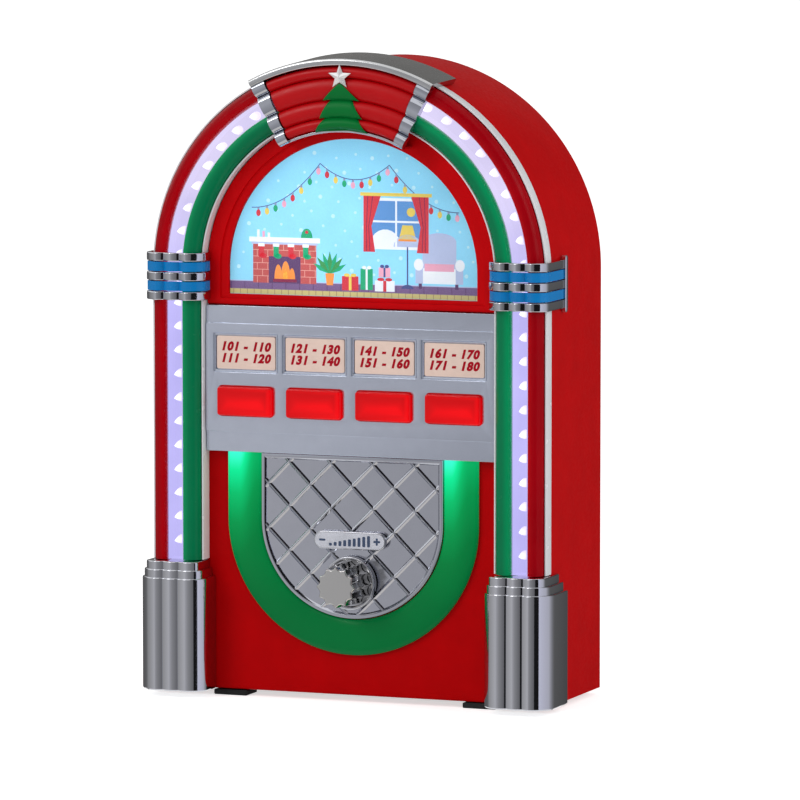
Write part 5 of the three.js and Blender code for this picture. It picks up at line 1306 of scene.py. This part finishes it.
def buttonMesh(x):
    # A quarter turn for the shoulder, then a crown that rises as (1 - share) squared to the middle
    shoulder, flangeY = button["shoulder"], faceFrontY + selector["face"] + gap
    crownY, deep = buttonLow[1] + button["crown"], button["shoulderDepth"] * shoulder
    turn = np.linspace(0, np.pi / 2, button["rows"])[1:]
    share = np.linspace(button["start"], 1, button["rings"])
    inward = np.concatenate([[0, 0], shoulder * (1 - np.cos(turn)),
                             shoulder + share * (buttonTall / 2 - shoulder - button["middle"])])
    depth = np.concatenate([[flangeY + button["side"], crownY + deep], crownY + deep * (1 - np.sin(turn)),
                            buttonLow[1] + button["crown"] * (1 - share) ** 2])
    radius = np.maximum(button["radius"] - button["shrink"] * inward, button["leastRadius"])
    loops = [roundRect(x, buttonZ, buttonWide - 2 * i, buttonTall - 2 * i, r) for i, r in zip(inward, radius)]
    reach, stem, stemY = buttonWide / 2 + selector["flange"], button["stem"], flangeY + button["flange"]
    feet = blocks([[x - reach, x + reach, flangeY, stemY, buttonLow[2], buttonHigh[2]],
                   [x - stem, x + stem, stemY - button["lap"], buttonHigh[1],
                    buttonZ - stem, buttonZ + stem]])
    return buttonLit(joined([skin(lifted(loops, depth), smooth=50), feet]), x)


litTree = finishes["button_red"].node_tree
buttonGlow = addNode(litTree, "Attribute", attribute_name="glow").outputs["Fac"]
feed(litTree, litTree.nodes["Principled BSDF"], {"Emission Color": full(behind["colour"]),
                                                 "Emission Strength": buttonGlow})
for i, x in enumerate(keyX):
    dress(f"selectButton{i + 1}", buttonMesh(x), f"select_button_{i + 1}")
print("selector made")

scene = bpy.context.scene
view = {"place": (0.8440, -2.1502, 0.3371), "turn": 21.178, "dip": 5.728, "lens": 295.74, "sensor": 36,
        "far": 50}
cameraData = bpy.data.cameras.new("camera")
cameraData.lens = view["lens"]
cameraData.sensor_width = view["sensor"]
cameraData.clip_end = view["far"]
camera = bpy.data.objects.new("camera", cameraData)
camera.location = view["place"]
camera.rotation_euler = (math.radians(90 - view["dip"]), 0, math.radians(view["turn"]))
scene.collection.objects.link(camera)
scene.camera = camera
scene.view_settings.view_transform = "Standard"

ground = {"half": 6000, "thick": 10, "shade": (0.9, 0.9, 0.9, 1), "rough": 0.9, "lift": 0.62}
half = ground["half"]
floor = bpy.data.objects.new("floor", blocks([[-half, half, -half, half, -ground["thick"], 0]]))
scene.collection.objects.link(floor)
floorPaint = bpy.data.materials.new("floorPaint")
floorPaint.use_nodes = True
floorTree = floorPaint.node_tree
# The floor is diffuse, and camera rays see it with a glow added that lifts its lit part to white
floorSeen = addNode(floorTree, "LightPath").outputs["Is Camera Ray"]
feed(floorTree, floorTree.nodes["Principled BSDF"], {
    "Base Color": ground["shade"], "Roughness": ground["rough"], "Emission Color": (1, 1, 1, 1),
    "Emission Strength": addMath(floorTree, "MULTIPLY", floorSeen, ground["lift"])})
floor.data.materials.append(floorPaint)
floor.visible_glossy = False

# Light: a white room seen by the camera and in reflections, and a softer one for the light it gives
light = {"room": 0.55, "seen": 1.0}
world = bpy.data.worlds.new("world")
scene.world = world
world.use_nodes = True
sky = world.node_tree
rays = addNode(sky, "LightPath").outputs
direct = addMath(sky, "MAXIMUM", rays["Is Camera Ray"], rays["Is Glossy Ray"])
seen = addMath(sky, "MAXIMUM", direct, rays["Is Transmission Ray"])
feed(sky, sky.nodes["Background"], {"Color": (1, 1, 1, 1),
                                    "Strength": addRange(sky, seen, 0, 1, light["room"], light["seen"])})


def areaLamp(name, place, aim, size, power):
    # Turned so that its -Z axis points from its place at the aim
    data = bpy.data.lights.new(name, "AREA")
    data.shape = "RECTANGLE"
    data.size, data.size_y = size
    data.energy = power
    made = bpy.data.objects.new(name, data)
    made.location = place
    x, y, z = np.array(aim) - place
    made.rotation_euler = (math.atan2(math.hypot(x, y), -z), 0, math.atan2(-x, y))
    scene.collection.objects.link(made)


areaLamp("keyLamp", (-1.1, -1.4, 1.3), (0, 0, 0.1), (0.9, 0.9), 11)
areaLamp("sideLamp", (1.7, -0.2, 0.9), (0, 0, 0.1), (0.8, 1.2), 9)

# Flags: curved cards round the object that only reflections see. A stop is an angle from the front
# towards the right, the card's top edge as an angle above the floor, and its shade. A patch is the
# first and last angle, the lowest and highest one, and its shade.
flags = {"distance": 800, "middle": 100, "low": -42, "rows": 9, "columns": 33}
ringStops = np.array([
    [-125, 12, 0.12, 0.12, 0.12], [-110, 12, 0.14, 0.14, 0.14], [-80, 12, 0.36, 0.36, 0.36],
    [-68, 12, 0.42, 0.42, 0.42], [-60, 34, 0.46, 0.46, 0.47], [-40, 34, 0.54, 0.54, 0.55],
    [-27, 34, 0.58, 0.58, 0.6], [-15, 34, 0.44, 0.44, 0.46], [0, 34, 0.33, 0.33, 0.34],
    [15, 34, 0.26, 0.26, 0.27], [31.8, 34, 0.17, 0.17, 0.18], [32, 60, 0.012, 0.012, 0.013],
    [62, 60, 0.012, 0.012, 0.013], [62.2, 60, 0.75, 0.76, 0.9], [86, 60, 0.54, 0.54, 0.6],
    [104, 60, 0.36, 0.36, 0.39], [130, 60, 0.2, 0.2, 0.21], [150, 60, 0.16, 0.16, 0.16],
    [154, 60, 0.12, 0.12, 0.12], [166, 60, 0.03, 0.03, 0.03], [174, 60, 0.02, 0.02, 0.02]])
patches = {"rear": (-186, -125, -25, 62, (0.2, 0.196, 0.19)), "tan": (-20, 80, -88, -44, (0.86, 0.82, 0.76)),
           "high": (10, 32, 34, 60, (0.012, 0.012, 0.013))}


def flagFinish():
    # Light in the shade that the card keeps at each point
    material = bpy.data.materials.new("flagPaint")
    material.use_nodes = True
    tree = material.node_tree
    tree.nodes.remove(tree.nodes["Principled BSDF"])
    shade = addNode(tree, "Attribute", attribute_name="shade").outputs["Color"]
    glow = addNode(tree, "Emission", {"Color": shade}).outputs["Emission"]
    feed(tree, tree.nodes["Material Output"], {"Surface": glow})
    return material


def flag(name, turn, low, high, shade):
    # A card on a sphere about the object: columns at each turn, from the low to the high angle
    share = np.linspace(0, 1, flags["rows"])[:, None]
    turn, tilt = np.radians(turn + 0 * share), np.radians(low + (high - low) * share + 0 * turn)
    points = np.stack([np.cos(tilt) * np.sin(turn), -np.cos(tilt) * np.cos(turn), np.sin(tilt)], axis=2)
    rows, columns = turn.shape
    start = np.arange(rows - 1)[:, None] * columns + np.arange(columns - 1)
    faces = np.stack([start, start + 1, start + columns + 1, start + columns], axis=2).reshape(-1, 4)
    mesh = filled(flags["distance"] * points.reshape(-1, 3) + [0, 0, flags["middle"]], faces.tolist())
    shade = np.insert(np.broadcast_to(shade, (rows, columns, 3)).reshape(-1, 3), 3, 1, axis=1)
    made = bpy.data.objects.new(name, painted(marked(mesh, "shade", shade), flagPaint))
    scene.collection.objects.link(made)
    made.visible_camera = made.visible_diffuse = made.visible_transmission = False
    made.visible_shadow = made.visible_volume_scatter = False


flagPaint = flagFinish()
stopTurns = ringStops[:, 0]
ringTurns = np.unique(np.concatenate([np.arange(stopTurns[0], stopTurns[-1] + 1), stopTurns]))
tops, *shades = [np.interp(ringTurns, stopTurns, column) for column in ringStops.T[1:]]
flag("ringFlag", ringTurns, flags["low"], tops, np.stack(shades, axis=1))
for name, (first, last, low, high, shade) in patches.items():
    flag(f"{name}Flag", np.linspace(first, last, flags["columns"]), low, high, shade)
print("camera and light set")
